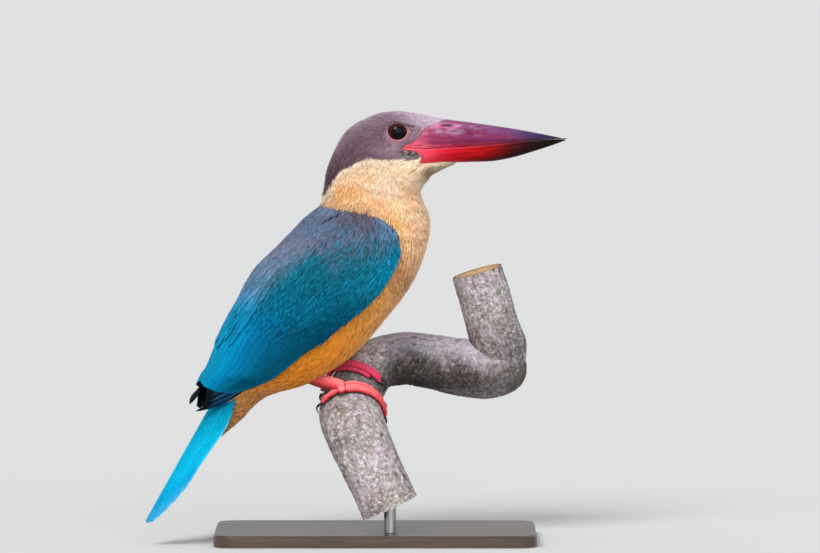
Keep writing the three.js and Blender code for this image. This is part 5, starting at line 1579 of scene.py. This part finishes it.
def on_branch(s, deg, height, along=0.0):
    t = branch_tangent(s)
    crest = unit(np.array([0, 0, 1.0]) - t * t[2])
    right = unit(np.cross(t, crest))
    if right[0] < 0:
        right = -right
    a = math.radians(deg)
    row = spline(BRANCH, np.array(float(s)))
    r = row[3] + height + along ** 2 * 0.02
    return row[:3] + crest * r * math.cos(a) + right * r * math.sin(a) + t * along


def bark_height(p, along, around, seed):
    """Height of the bark in mm: low lumps, long fine ridges, short cracks and small raised pores. along and around are in mm."""
    zero = np.zeros_like(along)
    q = np.stack([around, along * 0.22, zero], -1)
    ridge = noise(q, 1.7, seed)
    fine = noise(np.stack([around, along * 0.45, zero], -1), 0.85, seed + 3)
    broad = fbm(p, 15.0, 3, seed + 5) - 0.5
    wob = 1.6 * noise(p, 6.0, seed + 9)
    crack = np.abs(noise(np.stack([around + wob, along * 0.2, zero], -1), 2.3, seed + 11) - 0.5)
    cut = (1 - smooth(0.0, 0.06, crack)) * smooth(0.5, 0.62, noise(np.stack([around, along * 0.4, zero], -1), 3.0, seed + 2))
    pore = smooth(0.70, 0.82, noise(np.stack([around * 0.7, along * 1.3, zero], -1), 1.15, seed + 13))
    flake = smooth(0.5, 0.56, fbm(p, 4.5, 2, seed + 21))
    h = 0.85 * broad + 0.30 * (ridge - 0.5) + 0.18 * (fine - 0.5) + 0.13 * flake - 0.30 * cut + 0.16 * pore
    return h, cut, pore, flake, ridge


def bark_colour(p, n, h, cut, pore, flake, ridge, painted_facing_shade):
    """painted_facing_shade: how much of the bark is the cross limb's, painted near black underneath and pale grey-mauve
    on top as shade and light fall; the rest is brown-grey.
    """
    big = fbm(p, 18.0, 3, 301)
    mid = fbm(p, 5.0, 3, 302)
    small = 0.65 * noise(p * [1, 1, 0.7], 0.8, 303) + 0.35 * noise(p, 1.7, 304)
    base = mix(rgb("7c7272"), rgb("988e93"), smooth(0.35, 0.65, big))
    base = mix(base, rgb("80705f"), 0.4 * smooth(0.52, 0.66, mid))
    base = mix(base, rgb("8c9082"), 0.35 * smooth(0.56, 0.66, fbm(p, 7.0, 2, 307)))
    base = mix(base, rgb("c2b8be"), 0.6 * smooth(0.52, 0.68, small) * (0.5 + 0.5 * flake))
    base = mix(base, rgb("51453f"), 0.6 * (1 - smooth(0.28, 0.42, small)))
    base = base * (0.84 + 0.3 * ridge)[..., None]
    base = mix(base, rgb("d0c8c8"), 0.5 * pore)
    base = mix(base, rgb("3a2f2a"), 0.75 * cut)
    # painted light on the top of the bend behind the feet, and painted shadow on the limb just under the bird
    base = base * (1 + 0.65 * smooth(99, 107, p[..., 2]) * (1 - smooth(14, 26, p[..., 0])) - 0.18 * smooth(74, 84, p[..., 2]) * (1 - smooth(90, 99, p[..., 2])) * (p[..., 0] < 40))[..., None]
    # painted light: paler towards the lower end of the limb
    base = base * (1 + 0.16 * (1 - smooth(34, 60, p[..., 2])))[..., None]
    painted_facing_shade = np.asarray(painted_facing_shade, float) + 0 * big
    # painted shade and light by which way the bark faces: near black underneath, pale grey-mauve on top
    dark = mix(rgb("231b19"), rgb("a099a6"), smooth(-0.15, 0.9, n[..., 2] + 0.6 * (mid - 0.5)))
    dark = mix(dark, rgb("8d8177"), (0.08 + 0.24 * smooth(-0.5, 0.5, n[..., 2])) * smooth(0.55, 0.68, small))
    dark = dark * (0.7 + 0.6 * small)[..., None]
    dark = mix(dark, rgb("241e1c"), 0.6 * cut)
    return mix(base, dark, painted_facing_shade)


def wood_end(pile, ring, centre, normal, seed):
    """A sawn face closing a ring, with growth rings and a few checks."""
    n = len(ring)
    rows, cols = [], []
    fracs = [0.985, 0.93, 0.86, 0.78, 0.7, 0.62, 0.54, 0.46, 0.38, 0.3, 0.22, 0.14, 0.07]
    for f in fracs:
        p = centre + (ring - centre) * f
        p = p - normal * ((p - centre) @ normal)[:, None]
        rr = np.linalg.norm(p - centre, axis=-1)
        w = 0.5 + 0.5 * np.sin(rr * 2 * math.pi / 1.25 + 1.5 * noise(p, 7.0, seed))
        ang = np.arctan2(((p - centre) @ np.cross(normal, [0.3, 0.9, 0.1])), (p - centre) @ unit(np.array([0.3, 0.9, 0.1])))
        check = sum(np.exp(-((np.angle(np.exp(1j * (ang - c)))) * rr / 0.3) ** 2) * (rr > 2.5) for c in (0.6, 2.9, 4.4))
        c = mix(rgb("b7946a"), rgb("8d6a45"), 0.65 * w)
        c = mix(c, rgb("5a3d24"), 0.75 * np.clip(check, 0, 1))
        c = mix(c, rgb("6f5139"), 0.6 * (1 - smooth(1.0, 2.2, rr)))
        if f > 0.9:
            c = mix(c, rgb("5b4634"), 0.9)
        rows.append(p - normal * (0.14 * w + 0.35 * np.clip(check, 0, 1) * (f < 0.9))[:, None] + normal * 0.1 * (f < 0.95))
        cols.append(c)
    V = np.concatenate([ring[None], np.array(rows)])
    C = np.concatenate([np.broadcast_to(rgb("54433a"), (1, n, 3)), np.array(cols)])
    verts = np.concatenate([V.reshape(-1, 3), centre[None]])
    f4 = grid_faces(len(V), n, True)
    f3 = fan(len(V) * n, (len(V) - 1) * n + np.arange(n))
    # face the normal
    t = verts[f3[0]]
    if np.cross(t[1] - t[0], t[2] - t[0]) @ normal < 0:
        f3, f4 = f3[:, ::-1], f4[:, ::-1]
    return verts, f3, f4, np.concatenate([C.reshape(-1, 3), rgb("6f5139")[None]])


def branch_mesh(rows, s0, s1, step, sides, up0, seed, painted_facing_shade, cap_lo, cap_hi):
    """A displaced length of branch, left open at both ends; gives its rings of corners, normals, colours, tangents and
    centres.
    """
    s = np.linspace(s0, s1, 1200)
    pts = spline(rows, s)
    arc = np.concatenate([[0], np.cumsum(np.linalg.norm(np.diff(pts[:, :3], axis=0), axis=-1))])
    count = int(arc[-1] / step) + 1
    sv = np.interp(np.linspace(0, arc[-1], count), arc, s)
    along = np.linspace(0, arc[-1], count)
    row = spline(rows, sv)
    c, r = row[:, :3], row[:, 3]
    t = np.array([branch_tangent(v, rows) for v in sv])
    u = np.asarray(up0, float)
    ups = []
    for k in range(count):
        u = unit(u - t[k] * (u @ t[k]))
        ups.append(u)
    ups = np.array(ups)
    outs = np.cross(ups, t)
    a = np.linspace(0, 2 * math.pi, sides, endpoint=False)
    N = np.cos(a)[None, :, None] * ups[:, None] + np.sin(a)[None, :, None] * outs[:, None]
    P = c[:, None] + r[:, None, None] * N
    AL = np.repeat(along[:, None], sides, 1)
    AR = (a[None] * 16.0) + 0 * AL
    # the noise must close round the branch
    def closed(fn):
        k = smooth(0.86, 1.0, (a / (2 * math.pi)))[None]
        h0, h1 = fn(AR), fn(AR - 2 * math.pi * 16.0)
        return [x * (1 - k) + y * k for x, y in zip(h0, h1)]
    h, cut, pore, flake, ridge = closed(lambda ar: bark_height(P, AL, ar, seed))
    V = P + N * h[..., None]
    col = bark_colour(P, N, h, cut, pore, flake, ridge, painted_facing_shade(P) if callable(painted_facing_shade) else painted_facing_shade)
    return V, N, col, t, c


def build_perch(mat):
    sides = 150
    main = Pile()
    # the cross limb takes the bark with painted shade below and painted light on top; the fork a little of it
    V, N, C, t, c = branch_mesh(BRANCH, 0.0, 13.0, 0.62, sides, [0.9, 0, 0.44], 401, lambda P: 0.86 * smooth(4, 24, P[..., 0]) * smooth(78, 90, P[..., 2]) * (1 - 0.25 * smooth(68, 80, P[..., 0])), True, False)
    # lower cut: level with the branch's direction there
    n_lo = -t[0]
    V[0] = V[0] - n_lo * ((V[0] - c[0]) @ n_lo)[:, None]
    verts = np.concatenate([V.reshape(-1, 3), V[-1].mean(0)[None]])
    f4 = grid_faces(len(V), sides, True)
    f3 = fan(len(V) * sides, (len(V) - 1) * sides + np.arange(sides), True)
    e, e3, e4, ec = wood_end(main, V[0], c[0], n_lo, 411)
    tri = np.cross(verts[f4[0, 1]] - verts[f4[0, 0]], verts[f4[0, 2]] - verts[f4[0, 0]])
    if tri @ N[0, 0] < 0:
        f4, f3 = f4[:, ::-1], f3[:, ::-1]
    main.add(verts, f3, f4, np.concatenate([C.reshape(-1, 3), C[-1].mean(0)[None]]))
    main.add(e, e3, e4, ec)
    # the fork
    V, N, C, t, c = branch_mesh(FORK, 0.0, 4.0, 0.62, 144, [1.0, 0, 0.2], 421, lambda P: 0.5 * (1 - smooth(110, 132, P[..., 2])), False, True)
    verts = np.concatenate([V.reshape(-1, 3), V[0].mean(0)[None]])
    f4 = grid_faces(len(V), 144, True)
    f3 = fan(len(V) * 144, np.arange(144))
    tri = np.cross(verts[f4[0, 1]] - verts[f4[0, 0]], verts[f4[0, 2]] - verts[f4[0, 0]])
    if tri @ N[0, 0] < 0:
        f4 = f4[:, ::-1]
    main.add(verts, f3, f4, np.concatenate([C.reshape(-1, 3), C[0].mean(0)[None]]))
    n_hi = t[-1]
    e, e3, e4, ec = wood_end(main, V[-1] - n_hi * ((V[-1] - c[-1]) @ n_hi)[:, None], c[-1], n_hi, 431)
    main.add(e, e3, e4, ec)
    ob = main.make("perch_bark", "bark", mat, ["perch_limb", "perch_bend", "perch_cross_limb", "perch_fork"])
    ob.data.uv_layers.remove(ob.data.uv_layers["OFBake"])
    print("perch", sum(len(x) for x in main.f3) + 2 * sum(len(x) for x in main.f4), "triangles")


# ---------------------------------------------------------------- feet

TOE_PAIR, TOE_SPACE, SOLE_R, TOE_R, TARSUS_R, CLAW_LEN = 1.1, 4.55, 2.9, 1.75, 3.1, 7.2
FEET = {
    # station, angles of the sole, the hind toe's and the front toes' ends, ankle, knee, way to the other foot, hind toe's stray
    "right": (3.86, -18, -60, 92, np.array([-22.5, -15.5, 94.2]), np.array([-35.0, -13.0, 100.0]), 1, 0.0),
    "left": (5.28, -30, -76, 72, np.array([-18.8, 11.0, 100.0]), np.array([-27.0, 12.0, 104.4]), -1, -0.42),
}


def resample(points, radii, step):
    points, radii = np.asarray(points, float), np.asarray(radii, float)
    idx = np.linspace(0, len(points) - 1, 40 * len(points))
    fine = spline(np.column_stack([points, radii]), idx)
    arc = np.concatenate([[0], np.cumsum(np.linalg.norm(np.diff(fine[:, :3], axis=0), axis=-1))])
    at = np.linspace(0, arc[-1], max(int(arc[-1] / step) + 1, 8))
    out = np.stack([np.interp(at, arc, fine[:, k]) for k in range(4)], -1)
    return out[:, :3], out[:, 3], at


def scaly(pile, points, radii, up, colour, sides=36, step=0.16, pitch=1.65, plates=1.35, cap=(True, True), swell=None, seed=0, squash=0.92):
    """A toe or shank: scutes over the upper side, pebbles below. up points away from the branch."""
    P, R, arc = resample(points, radii, step)
    total = arc[-1]
    if swell is not None:
        R = R * swell(arc / total)
    # rounded ends
    def ends(x):
        f = np.ones_like(x)
        r0, r1 = R[0], R[-1]
        if cap[0]:
            f = f * np.sqrt(np.clip(1 - ((r0 * 0.9 - x) / (r0 * 0.9)) ** 2, 0.02, 1)) ** np.where(x < r0 * 0.9, 1, 0)
        if cap[1]:
            y = total - x
            f = f * np.sqrt(np.clip(1 - ((r1 * 0.9 - y) / (r1 * 0.9)) ** 2, 0.02, 1)) ** np.where(y < r1 * 0.9, 1, 0)
        return f
    R = R * ends(arc)
    rings, ups, outs, t = tube(P, R, sides, up)
    a = np.linspace(0, 2 * math.pi, sides, endpoint=False)
    N = np.cos(a)[None, :, None] * ups[:, None] + np.sin(a)[None, :, None] * outs[:, None]
    top = smooth(-0.15, 0.45, np.cos(a))[None]
    ph = arc[:, None] / pitch + 0.10 * np.cos(a)[None] + 0.12 * noise(np.stack([arc, 0 * arc, 0 * arc], -1), 3.0, seed)[:, None]
    fr = ph - np.floor(ph)
    plate = 1 - np.clip(np.abs(fr - 0.5) * 2, 0, 1) ** 6
    shingle = plate * (0.55 + 0.45 * fr)
    gk = 1 - plate
    peb_a = 0.5 + 0.5 * np.sin(arc[:, None] * 2 * math.pi / 0.62 + 1.2 * np.sin(a * 5)[None])
    peb_b = 0.5 + 0.5 * np.sin(a[None] * 11 + arc[:, None] * 3.1)
    peb = peb_a * peb_b
    scale = np.clip(R / 2.0, 0.15, 1)[:, None]
    h = (top * 0.30 * plates * (shingle - 0.6) + (1 - top) * 0.16 * (peb - 0.4)) * scale
    V = P[:, None] + (rings - P[:, None]) + N * h[..., None]
    # squash across the branch
    V = V - ups[:, None] * ((V - P[:, None]) * ups[:, None]).sum(-1)[..., None] * (1 - squash)
    C = np.broadcast_to(colour, V.shape).copy() if np.ndim(colour) == 1 else colour(P, N, arc / total)
    C = C * (0.80 + 0.28 * noise(V, 0.9, seed + 4))[..., None]
    # painted shade in the grooves between the scutes and between the pebbles below; then a painted highlight on the
    # raised end of each scute
    C = mix(C, C * 0.45, (top * gk + (1 - top) * (1 - peb) * 0.5) * 0.8)
    C = mix(C, rgb("f8b0a4"), 0.30 * top * smooth(0.55, 0.85, fr) * (1 - gk))
    verts, f3, f4 = closed_tube(V)
    f3, f4 = outward(verts, f3, f4)
    pile.add(verts, f3, f4, np.concatenate([C.reshape(-1, 3), C[0].mean(0)[None], C[-1].mean(0)[None]]))
    return P, R


def build_feet(mat_foot, mat_claw):
    made = []
    for side, (at, pad, hallux, toes, ankle, knee, inner, stray) in FEET.items():
        near = side == "right"
        base = rgb("d63c40") if near else rgb("de1a50")
        sheen = rgb("f49aa2") if near else rgb("ee5486")
        shadow = rgb("84121a") if near else rgb("5c0a1c")
        def colour(P, N, f, base=base, sheen=sheen, shadow=shadow):
            # painted light: a pale sheen on the upward faces and a painted shadow on the downward ones
            low = smooth(0.1, -0.8, N[..., 2])
            c = np.broadcast_to(base, N.shape)
            c = mix(c, sheen, 0.42 * smooth(0.1, 0.9, N[..., 2]))
            return mix(c, shadow, 0.6 * low)
        centre = spline(BRANCH, np.array(at))
        mid = inner * (TOE_SPACE - TOE_PAIR - TOE_R) * 0.5
        sole = [on_branch(at, pad, SOLE_R + 0.5, mid + u * 5.2) for u in (-1, -0.8, 0, 0.8, 1)]
        out = unit(on_branch(at, pad, 10) - on_branch(at, pad, 0))
        leg = Pile()
        p0 = sole[2] + np.array([0, 0, 0.7])
        shank = [knee + (knee - ankle) * 0.2, knee, ankle, ankle * 0.45 + p0 * 0.55, p0]
        scaly(leg, shank, np.array([1.4, 1.36, 1.24, 1.2, 1.2]) * TARSUS_R, unit(np.array([0.6, -0.5, 0.6])), colour, sides=44, pitch=1.7, seed=31, squash=1.0)
        scaly(leg, sole, np.array([0.75, 0.9, 0.92, 0.9, 0.75]) * SOLE_R * 0.92, out, colour, sides=40, pitch=1.5, plates=0.5, seed=33, squash=0.95)
        made.append(leg.make("leg_" + side + "_scales", "foot_scales", mat_foot, ["leg_" + side]))
        start = math.degrees((SOLE_R + 1.0) / (centre[3] + TOE_R))
        # name of the piece, toes in it: name, spread, radii, angles, way, radius of the claw, angle of the claw
        r_in = TOE_R * 0.85
        front = [("middle", inner * TOE_PAIR, TOE_R, TOE_R * 0.8, toes, toes + 2, TOE_R * 0.62), ("outer", -inner * TOE_PAIR, TOE_R, TOE_R * 0.78, toes - 5, toes - 2, TOE_R * 0.6)]
        pieces = [("front", front, 1, 0.0), ("inner", [("inner", inner * TOE_SPACE, r_in, r_in * 0.8, toes - 24, toes - 22, r_in * 0.68)], 1, 0.0),
                  ("hind", [("hind", 0.0, TOE_R * 1.05, TOE_R * 0.8, hallux, hallux - 2 - 12 * abs(stray), TOE_R * 0.62)], -1, stray)]
        for piece, parts, sign, wander in pieces:
            pile = Pile()
            for name, sp, r0, r1, d1, dc, rc in parts:
                d0 = pad + sign * start * 0.45
                f = np.linspace(0, 1, 15)
                rad = (r0 + (r1 - r0) * f) * (1.08 if near else 1.03)
                pts = np.array([on_branch(at + wander * v, d0 + (d1 - d0) * v, r + 0.3, sp) for v, r in zip(f, rad)])
                # pads swell between the joints
                count = 2 if name == "hind" else (4 if name == "outer" else 3)
                swell = lambda v, k=count: 1 + 0.07 * np.cos(v * 2 * math.pi * k + math.pi) + 0.05 * smooth(0.8, 1.0, v)
                scaly(pile, pts, rad, unit(pts[0] - centre[:3]), colour, sides=34, pitch=1.55, swell=swell, seed=len(name) + (7 if near else 0) + (3 if name == "outer" else 0))
                # claw: deep, curved, with a flat underside
                station = at + wander
                R = spline(BRANCH, np.array(station))[3]
                cp, cr = [], []
                for k in range(25):
                    g = k / 24 * 1.06 - 0.06
                    deg = dc + sign * g * CLAW_LEN * 180 / math.pi / (R + 2)
                    fc = max(g, 0.0)
                    cp.append(on_branch(station, deg, rc + 0.5 + 1.5 * math.sin(math.pi * min(fc * 1.15, 1)) - fc * (rc - 0.6) + (0.0 if g > 0 else 0.1), sp * (1.18 if name in ("middle", "outer") else 1.0)))
                    cr.append(max(rc * (1 - fc ** 0.8) + 0.14 * fc ** 0.8, 0.1))
                cp, cr = np.array(cp), np.array(cr)
                rings, ups, outs, t = tube(cp, cr, 24, unit(cp[0] - spline(BRANCH, np.array(station))[:3]))
                rel = rings - cp[:, None]
                hgt = (rel * ups[:, None]).sum(-1)
                acr = (rel * outs[:, None]).sum(-1)
                V = cp[:, None] + ups[:, None] * (hgt * np.where(hgt > 0, 1.12, 0.8))[..., None] + outs[:, None] * (acr * 0.8)[..., None]
                verts, f3, f4 = closed_tube(V)
                f3, f4 = outward(verts, f3, f4)
                cc = ramp(np.linspace(0, 1, 25), [(0, "3a2226"), (0.12, "1d1416"), (0.5, "141112"), (1, "2a2322")])
                C = np.repeat(cc[:, None], 24, 1).reshape(-1, 3)
                cl = Pile()
                cl.add(verts, f3, f4, np.concatenate([C, C[:1], C[-1:]]))
                made.append(cl.make("claw_%s_%s_horn" % (side, name), "claw_horn", mat_claw, ["claw_%s_%s" % (side, name)]))
            made.append(pile.make("toe_%s_%s_scales" % (side, piece), "foot_scales", mat_foot, ["toe_%s_%s" % (side, piece)]))
    for ob in made:
        ob.data.uv_layers.remove(ob.data.uv_layers["OFBake"])




# ---------------------------------------------------------------- materials


def spec(bsdf, **values):
    for key, v in values.items():
        name = key.replace("_", " ")
        bsdf.inputs[name].default_value = v


def plumage(name, rough=0.8, sheen=0.0, vane=False, barb=0.5, spec_level=0.04, quill=0.4):
    m, nt, bsdf = material(name)
    n = Nodes(nt)
    col = n.attribute("Col")
    obj = n.coords()
    mottling = n.map(n.noise(obj, 420.0, 2.0), 0.3, 0.7, 0.90, 1.10)
    c = n.scale_colour(col, mottling)
    v = n.attribute("vane", "Vector")
    x, y, z = n.split(v)
    ax = n.math("ABSOLUTE", x)
    if vane:
        # barbs leave the shaft forwards and curve to the tip
        line = n.math("SUBTRACT", y, n.math("MULTIPLY", ax, 1.35))
        wob = n.math("MULTIPLY", n.noise(n.vector(n.math("MULTIPLY", x, 0.6), n.math("MULTIPLY", y, 0.25), n.math("MULTIPLY", z, 90.0)), 1.0, 2.0), 0.9)
        line = n.math("ADD", line, wob)
        saw = n.math("FRACT", n.math("MULTIPLY", line, 1.9))
        ridge = n.math("SUBTRACT", 1.0, n.math("ABSOLUTE", n.math("SUBTRACT", n.math("MULTIPLY", saw, 2.0), 1.0)))
        band = n.noise(n.vector(n.math("MULTIPLY", line, 0.55), n.math("MULTIPLY", z, 55.0), n.math("MULTIPLY", x, 0.1)), 1.0, 3.0)
        c = n.scale_colour(c, n.map(band, 0.3, 0.7, 1 - 0.22 * barb, 1 + 0.22 * barb))
        c = n.scale_colour(c, n.map(ridge, 0.0, 1.0, 1 - 0.30 * barb, 1 + 0.12 * barb))
        shaft = n.map(ax, 0.10, 0.22, 1.0, 0.0)
        c = n.mix(n.math("MULTIPLY", shaft, quill), c, (0.01, 0.012, 0.015))
        height = n.math("ADD", n.math("MULTIPLY", ridge, 0.7), n.math("MULTIPLY", shaft, 1.2))
        bump = n.bump(height, 0.35, 0.00012)
    else:
        strand = n.noise(n.vector(n.math("MULTIPLY", x, 9.0), n.math("MULTIPLY", y, 0.35), n.math("MULTIPLY", z, 70.0)), 1.0, 2.0)
        c = n.scale_colour(c, n.map(strand, 0.3, 0.7, 0.92, 1.07))
        bump = n.bump(strand, 0.3, 0.0001)
    nt.links.new(c, bsdf.inputs["Base Color"])
    nt.links.new(bump, bsdf.inputs["Normal"])
    r = n.map(n.noise(obj, 160.0, 2.0), 0.3, 0.7, rough - 0.05, rough + 0.07)
    nt.links.new(r, bsdf.inputs["Roughness"])
    spec(bsdf, Sheen_Weight=sheen, Specular_IOR_Level=spec_level)
    bsdf.inputs["Sheen Roughness"].default_value = 0.45
    return m


def build_materials():
    M = {}
    # bare skin under the coat
    m, nt, b = material("skin")
    n = Nodes(nt)
    obj = n.coords()
    c = n.scale_colour(n.attribute("Col"), n.map(n.noise(obj, 700.0, 3.0), 0.3, 0.7, 0.85, 1.12))
    nt.links.new(c, b.inputs["Base Color"])
    nt.links.new(n.bump(n.voronoi(obj, 1500.0), 0.35, 0.00012), b.inputs["Normal"])
    nt.links.new(n.map(n.noise(obj, 300.0), 0.3, 0.7, 0.45, 0.62), b.inputs["Roughness"])
    spec(b, Specular_IOR_Level=0.14, Subsurface_Weight=0.05)
    b.inputs["Subsurface Radius"].default_value = (0.004, 0.0012, 0.0008)
    M["skin"] = m
    M["coat"] = plumage("plumage_soft")
    M["covert"] = plumage("plumage_covert", 0.68, 0.0, True, 0.7, 0.03)
    M["flight"] = plumage("plumage_flight", 0.65, 0.0, True, 0.4, 0.02, 0.2)
    M["primary"] = plumage("plumage_primary", 0.55, 0.0, True, 0.6, 0.06)
    M["tail"] = plumage("plumage_tail", 0.62, 0.0, True, 0.4, 0.03, 0.2)
    # bill
    for key, name in (("bill_upper", "bill_horn_upper"), ("bill_lower", "bill_horn_lower")):
        m, nt, b = material(name)
        n = Nodes(nt)
        along = n.coords((60.0, 500.0, 420.0))
        obj = n.coords()
        grain = n.noise(along, 1.0, 5.0, 0.6)
        cloud = n.noise(obj, 130.0, 4.0, 0.55)
        c = n.scale_colour(n.attribute("Col"), n.map(grain, 0.3, 0.7, 0.86, 1.12))
        c = n.scale_colour(c, n.map(cloud, 0.3, 0.7, 0.86, 1.12))
        scratch = n.map(n.noise(n.coords((140.0, 1500.0, 2200.0), (0, 0.22, 0)), 1.0, 2.0), 0.60, 0.72, 0.0, 1.0)
        c = n.mix(n.math("MULTIPLY", scratch, 0.035), c, (0.75, 0.6, 0.62))
        nt.links.new(c, b.inputs["Base Color"])
        height = n.math("ADD", n.math("MULTIPLY", grain, 0.6), n.math("MULTIPLY", scratch, -0.4))
        nt.links.new(n.bump(height, 0.3, 0.0002), b.inputs["Normal"])
        nt.links.new(n.map(cloud, 0.3, 0.7, 0.30, 0.46), b.inputs["Roughness"])
        spec(b, Specular_IOR_Level=0.07, Subsurface_Weight=0.02, Coat_Weight=0.03)
        b.inputs["Subsurface Radius"].default_value = (0.003, 0.0008, 0.0006)
        b.inputs["Coat Roughness"].default_value = 0.25
        M[key] = m
    # eye
    m, nt, b = material("eye")
    n = Nodes(nt)
    obj = n.coords()
    nt.links.new(n.scale_colour(n.attribute("Col"), n.map(n.noise(obj, 900.0, 3.0), 0.3, 0.7, 0.8, 1.2)), b.inputs["Base Color"])
    nt.links.new(n.map(n.noise(obj, 200.0), 0.3, 0.7, 0.03, 0.05), b.inputs["Roughness"])
    spec(b, Specular_IOR_Level=0.03, Coat_Weight=0.18)
    b.inputs["Coat Roughness"].default_value = 0.02
    M["eye"] = m
    # feet and claws
    m, nt, b = material("foot_scales")
    n = Nodes(nt)
    obj = n.coords()
    c = n.scale_colour(n.attribute("Col"), n.map(n.noise(obj, 900.0, 3.0), 0.3, 0.7, 0.86, 1.12))
    nt.links.new(c, b.inputs["Base Color"])
    nt.links.new(n.bump(n.voronoi(obj, 1300.0), 0.4, 0.0002), b.inputs["Normal"])
    nt.links.new(n.map(n.noise(obj, 300.0), 0.3, 0.7, 0.36, 0.52), b.inputs["Roughness"])
    spec(b, Specular_IOR_Level=0.25, Subsurface_Weight=0.04)
    b.inputs["Subsurface Radius"].default_value = (0.003, 0.0008, 0.0006)
    M["foot"] = m
    m, nt, b = material("claw_horn")
    n = Nodes(nt)
    obj = n.coords()
    c = n.scale_colour(n.attribute("Col"), n.map(n.noise(obj, 800.0, 4.0), 0.3, 0.7, 0.75, 1.3))
    nt.links.new(c, b.inputs["Base Color"])
    nt.links.new(n.bump(n.noise(obj, 1200.0, 3.0), 0.25, 0.0001), b.inputs["Normal"])
    nt.links.new(n.map(n.noise(obj, 300.0), 0.3, 0.7, 0.18, 0.32), b.inputs["Roughness"])
    M["claw"] = m
    # bark
    m, nt, b = material("bark")
    n = Nodes(nt)
    obj = n.coords()
    fine = n.noise(obj, 520.0, 6.0, 0.62)
    cells = n.voronoi(obj, 300.0, "DISTANCE_TO_EDGE")
    c = n.scale_colour(n.attribute("Col"), n.map(fine, 0.3, 0.7, 0.72, 1.22))
    c = n.scale_colour(c, n.map(cells, 0.0, 0.12, 0.82, 1.03))
    lichen = n.map(n.noise(obj, 90.0, 5.0, 0.65), 0.60, 0.70, 0.0, 1.0)
    c = n.mix(n.math("MULTIPLY", lichen, 0.35), c, (0.52, 0.50, 0.50))
    nt.links.new(c, b.inputs["Base Color"])
    height = n.math("ADD", n.math("MULTIPLY", fine, 1.0), n.math("MULTIPLY", n.map(cells, 0.0, 0.15, 0.0, 1.0), 0.4))
    nt.links.new(n.bump(height, 0.6, 0.0005), b.inputs["Normal"])
    nt.links.new(n.map(fine, 0.3, 0.7, 0.78, 0.95), b.inputs["Roughness"])
    spec(b, Specular_IOR_Level=0.2)
    M["bark"] = m
    # stand: dark stained wood and brushed steel
    m, nt, b = material("stand_base")
    n = Nodes(nt)
    grain = n.noise(n.coords((9.0, 120.0, 60.0)), 1.0, 6.0, 0.62, distortion=0.4)
    pores = n.noise(n.coords((70.0, 1500.0, 800.0)), 1.0, 3.0)
    c = n.mix(n.map(grain, 0.35, 0.65, 0.0, 1.0), (0.021, 0.0115, 0.0065), (0.062, 0.033, 0.018))
    c = n.scale_colour(c, n.map(pores, 0.3, 0.62, 0.7, 1.08))
    nt.links.new(c, b.inputs["Base Color"])
    nt.links.new(n.bump(pores, 0.25, 0.0001), b.inputs["Normal"])
    nt.links.new(n.map(grain, 0.3, 0.7, 0.34, 0.46), b.inputs["Roughness"])
    spec(b, Coat_Weight=0.2)
    b.inputs["Coat Roughness"].default_value = 0.3
    M["stand_base"] = m
    m, nt, b = material("stand_rod")
    n = Nodes(nt)
    brushed = n.noise(n.coords((1800.0, 1800.0, 60.0)), 1.0, 3.0)
    c = n.mix(n.map(brushed, 0.3, 0.7, 0.0, 1.0), (0.30, 0.295, 0.285), (0.46, 0.45, 0.44))
    nt.links.new(c, b.inputs["Base Color"])
    nt.links.new(n.map(brushed, 0.3, 0.7, 0.24, 0.4), b.inputs["Roughness"])
    nt.links.new(n.bump(brushed, 0.12, 0.00005), b.inputs["Normal"])
    spec(b, Metallic=1.0)
    M["stand_rod"] = m
    return M


def use_material(node, m):
    ob = bpy.data.objects.get(node)
    if not ob.data.materials:
        ob.data.materials.append(m)
    for slot in ob.material_slots:
        slot.material = m


# ---------------------------------------------------------------- stage


def build_stage():
    me = bpy.data.meshes.new("floor")
    r = 40.0
    me.from_pydata([(-r, -r, 0), (r, -r, 0), (r, r, 0), (-r, r, 0)], [], [(0, 1, 2, 3)])
    m, nt, b = material("floor")
    n = Nodes(nt)
    b.inputs["Base Color"].default_value = (0.47, 0.47, 0.47, 1)
    b.inputs["Roughness"].default_value = 0.85
    spec(b, Specular_IOR_Level=0.1)
    me.materials.append(m)
    floor = bpy.data.objects.new("floor", me)
    bpy.context.scene.collection.objects.link(floor)
    scene = bpy.context.scene
    world = bpy.data.worlds.new("studio")
    world.use_nodes = True
    bg = world.node_tree.nodes["Background"]
    bg.inputs["Color"].default_value = (0.94, 0.97, 1.0, 1)
    bg.inputs["Strength"].default_value = 0.74
    scene.world = world
    for name, energy, angle, rot, colour in (
        ("key", 3.4, 30, (46, 0, -26), (1.0, 0.985, 0.96)),
        ("fill", 1.75, 60, (78, 0, 18), (0.99, 0.99, 1.0)),
    ):
        lamp = bpy.data.lights.new(name, "SUN")
        lamp.energy = energy
        lamp.angle = math.radians(angle)
        lamp.color = colour
        ob = bpy.data.objects.new(name, lamp)
        ob.rotation_euler = tuple(math.radians(v) for v in rot)
        scene.collection.objects.link(ob)
    cam = bpy.data.cameras.new("camera")
    cam.sensor_fit = "HORIZONTAL"
    cam.sensor_width = 36.0
    cam.lens = 299.75
    cam.clip_start, cam.clip_end = 0.05, 200.0
    ob = bpy.data.objects.new("camera", cam)
    ob.location = ((31.03 - 0.23) / 1000, -3.954573, 0.360660)
    ob.rotation_euler = (math.radians(87.0), 0, 0)
    scene.collection.objects.link(ob)
    scene.camera = ob
    scene.view_settings.view_transform = "Standard"
    scene.view_settings.look = "None"


# ---------------------------------------------------------------- everything
M = build_materials()
build_skin(M["skin"])
build_coat(M["coat"])
build_bill(M["bill_upper"], M["bill_lower"])
build_eyes(M["eye"])
for turn in (1, -1):
    wing_side(M["covert"], M["flight"], M["primary"], M["coat"], turn)
build_mantle(M["covert"], M["coat"])
build_tail(M["tail"])
build_perch(M["bark"])
build_feet(M["foot"], M["claw"])
use_material("stand_base", M["stand_base"])
use_material("stand_rod", M["stand_rod"])
build_stage()
bpy.context.view_layer.update()
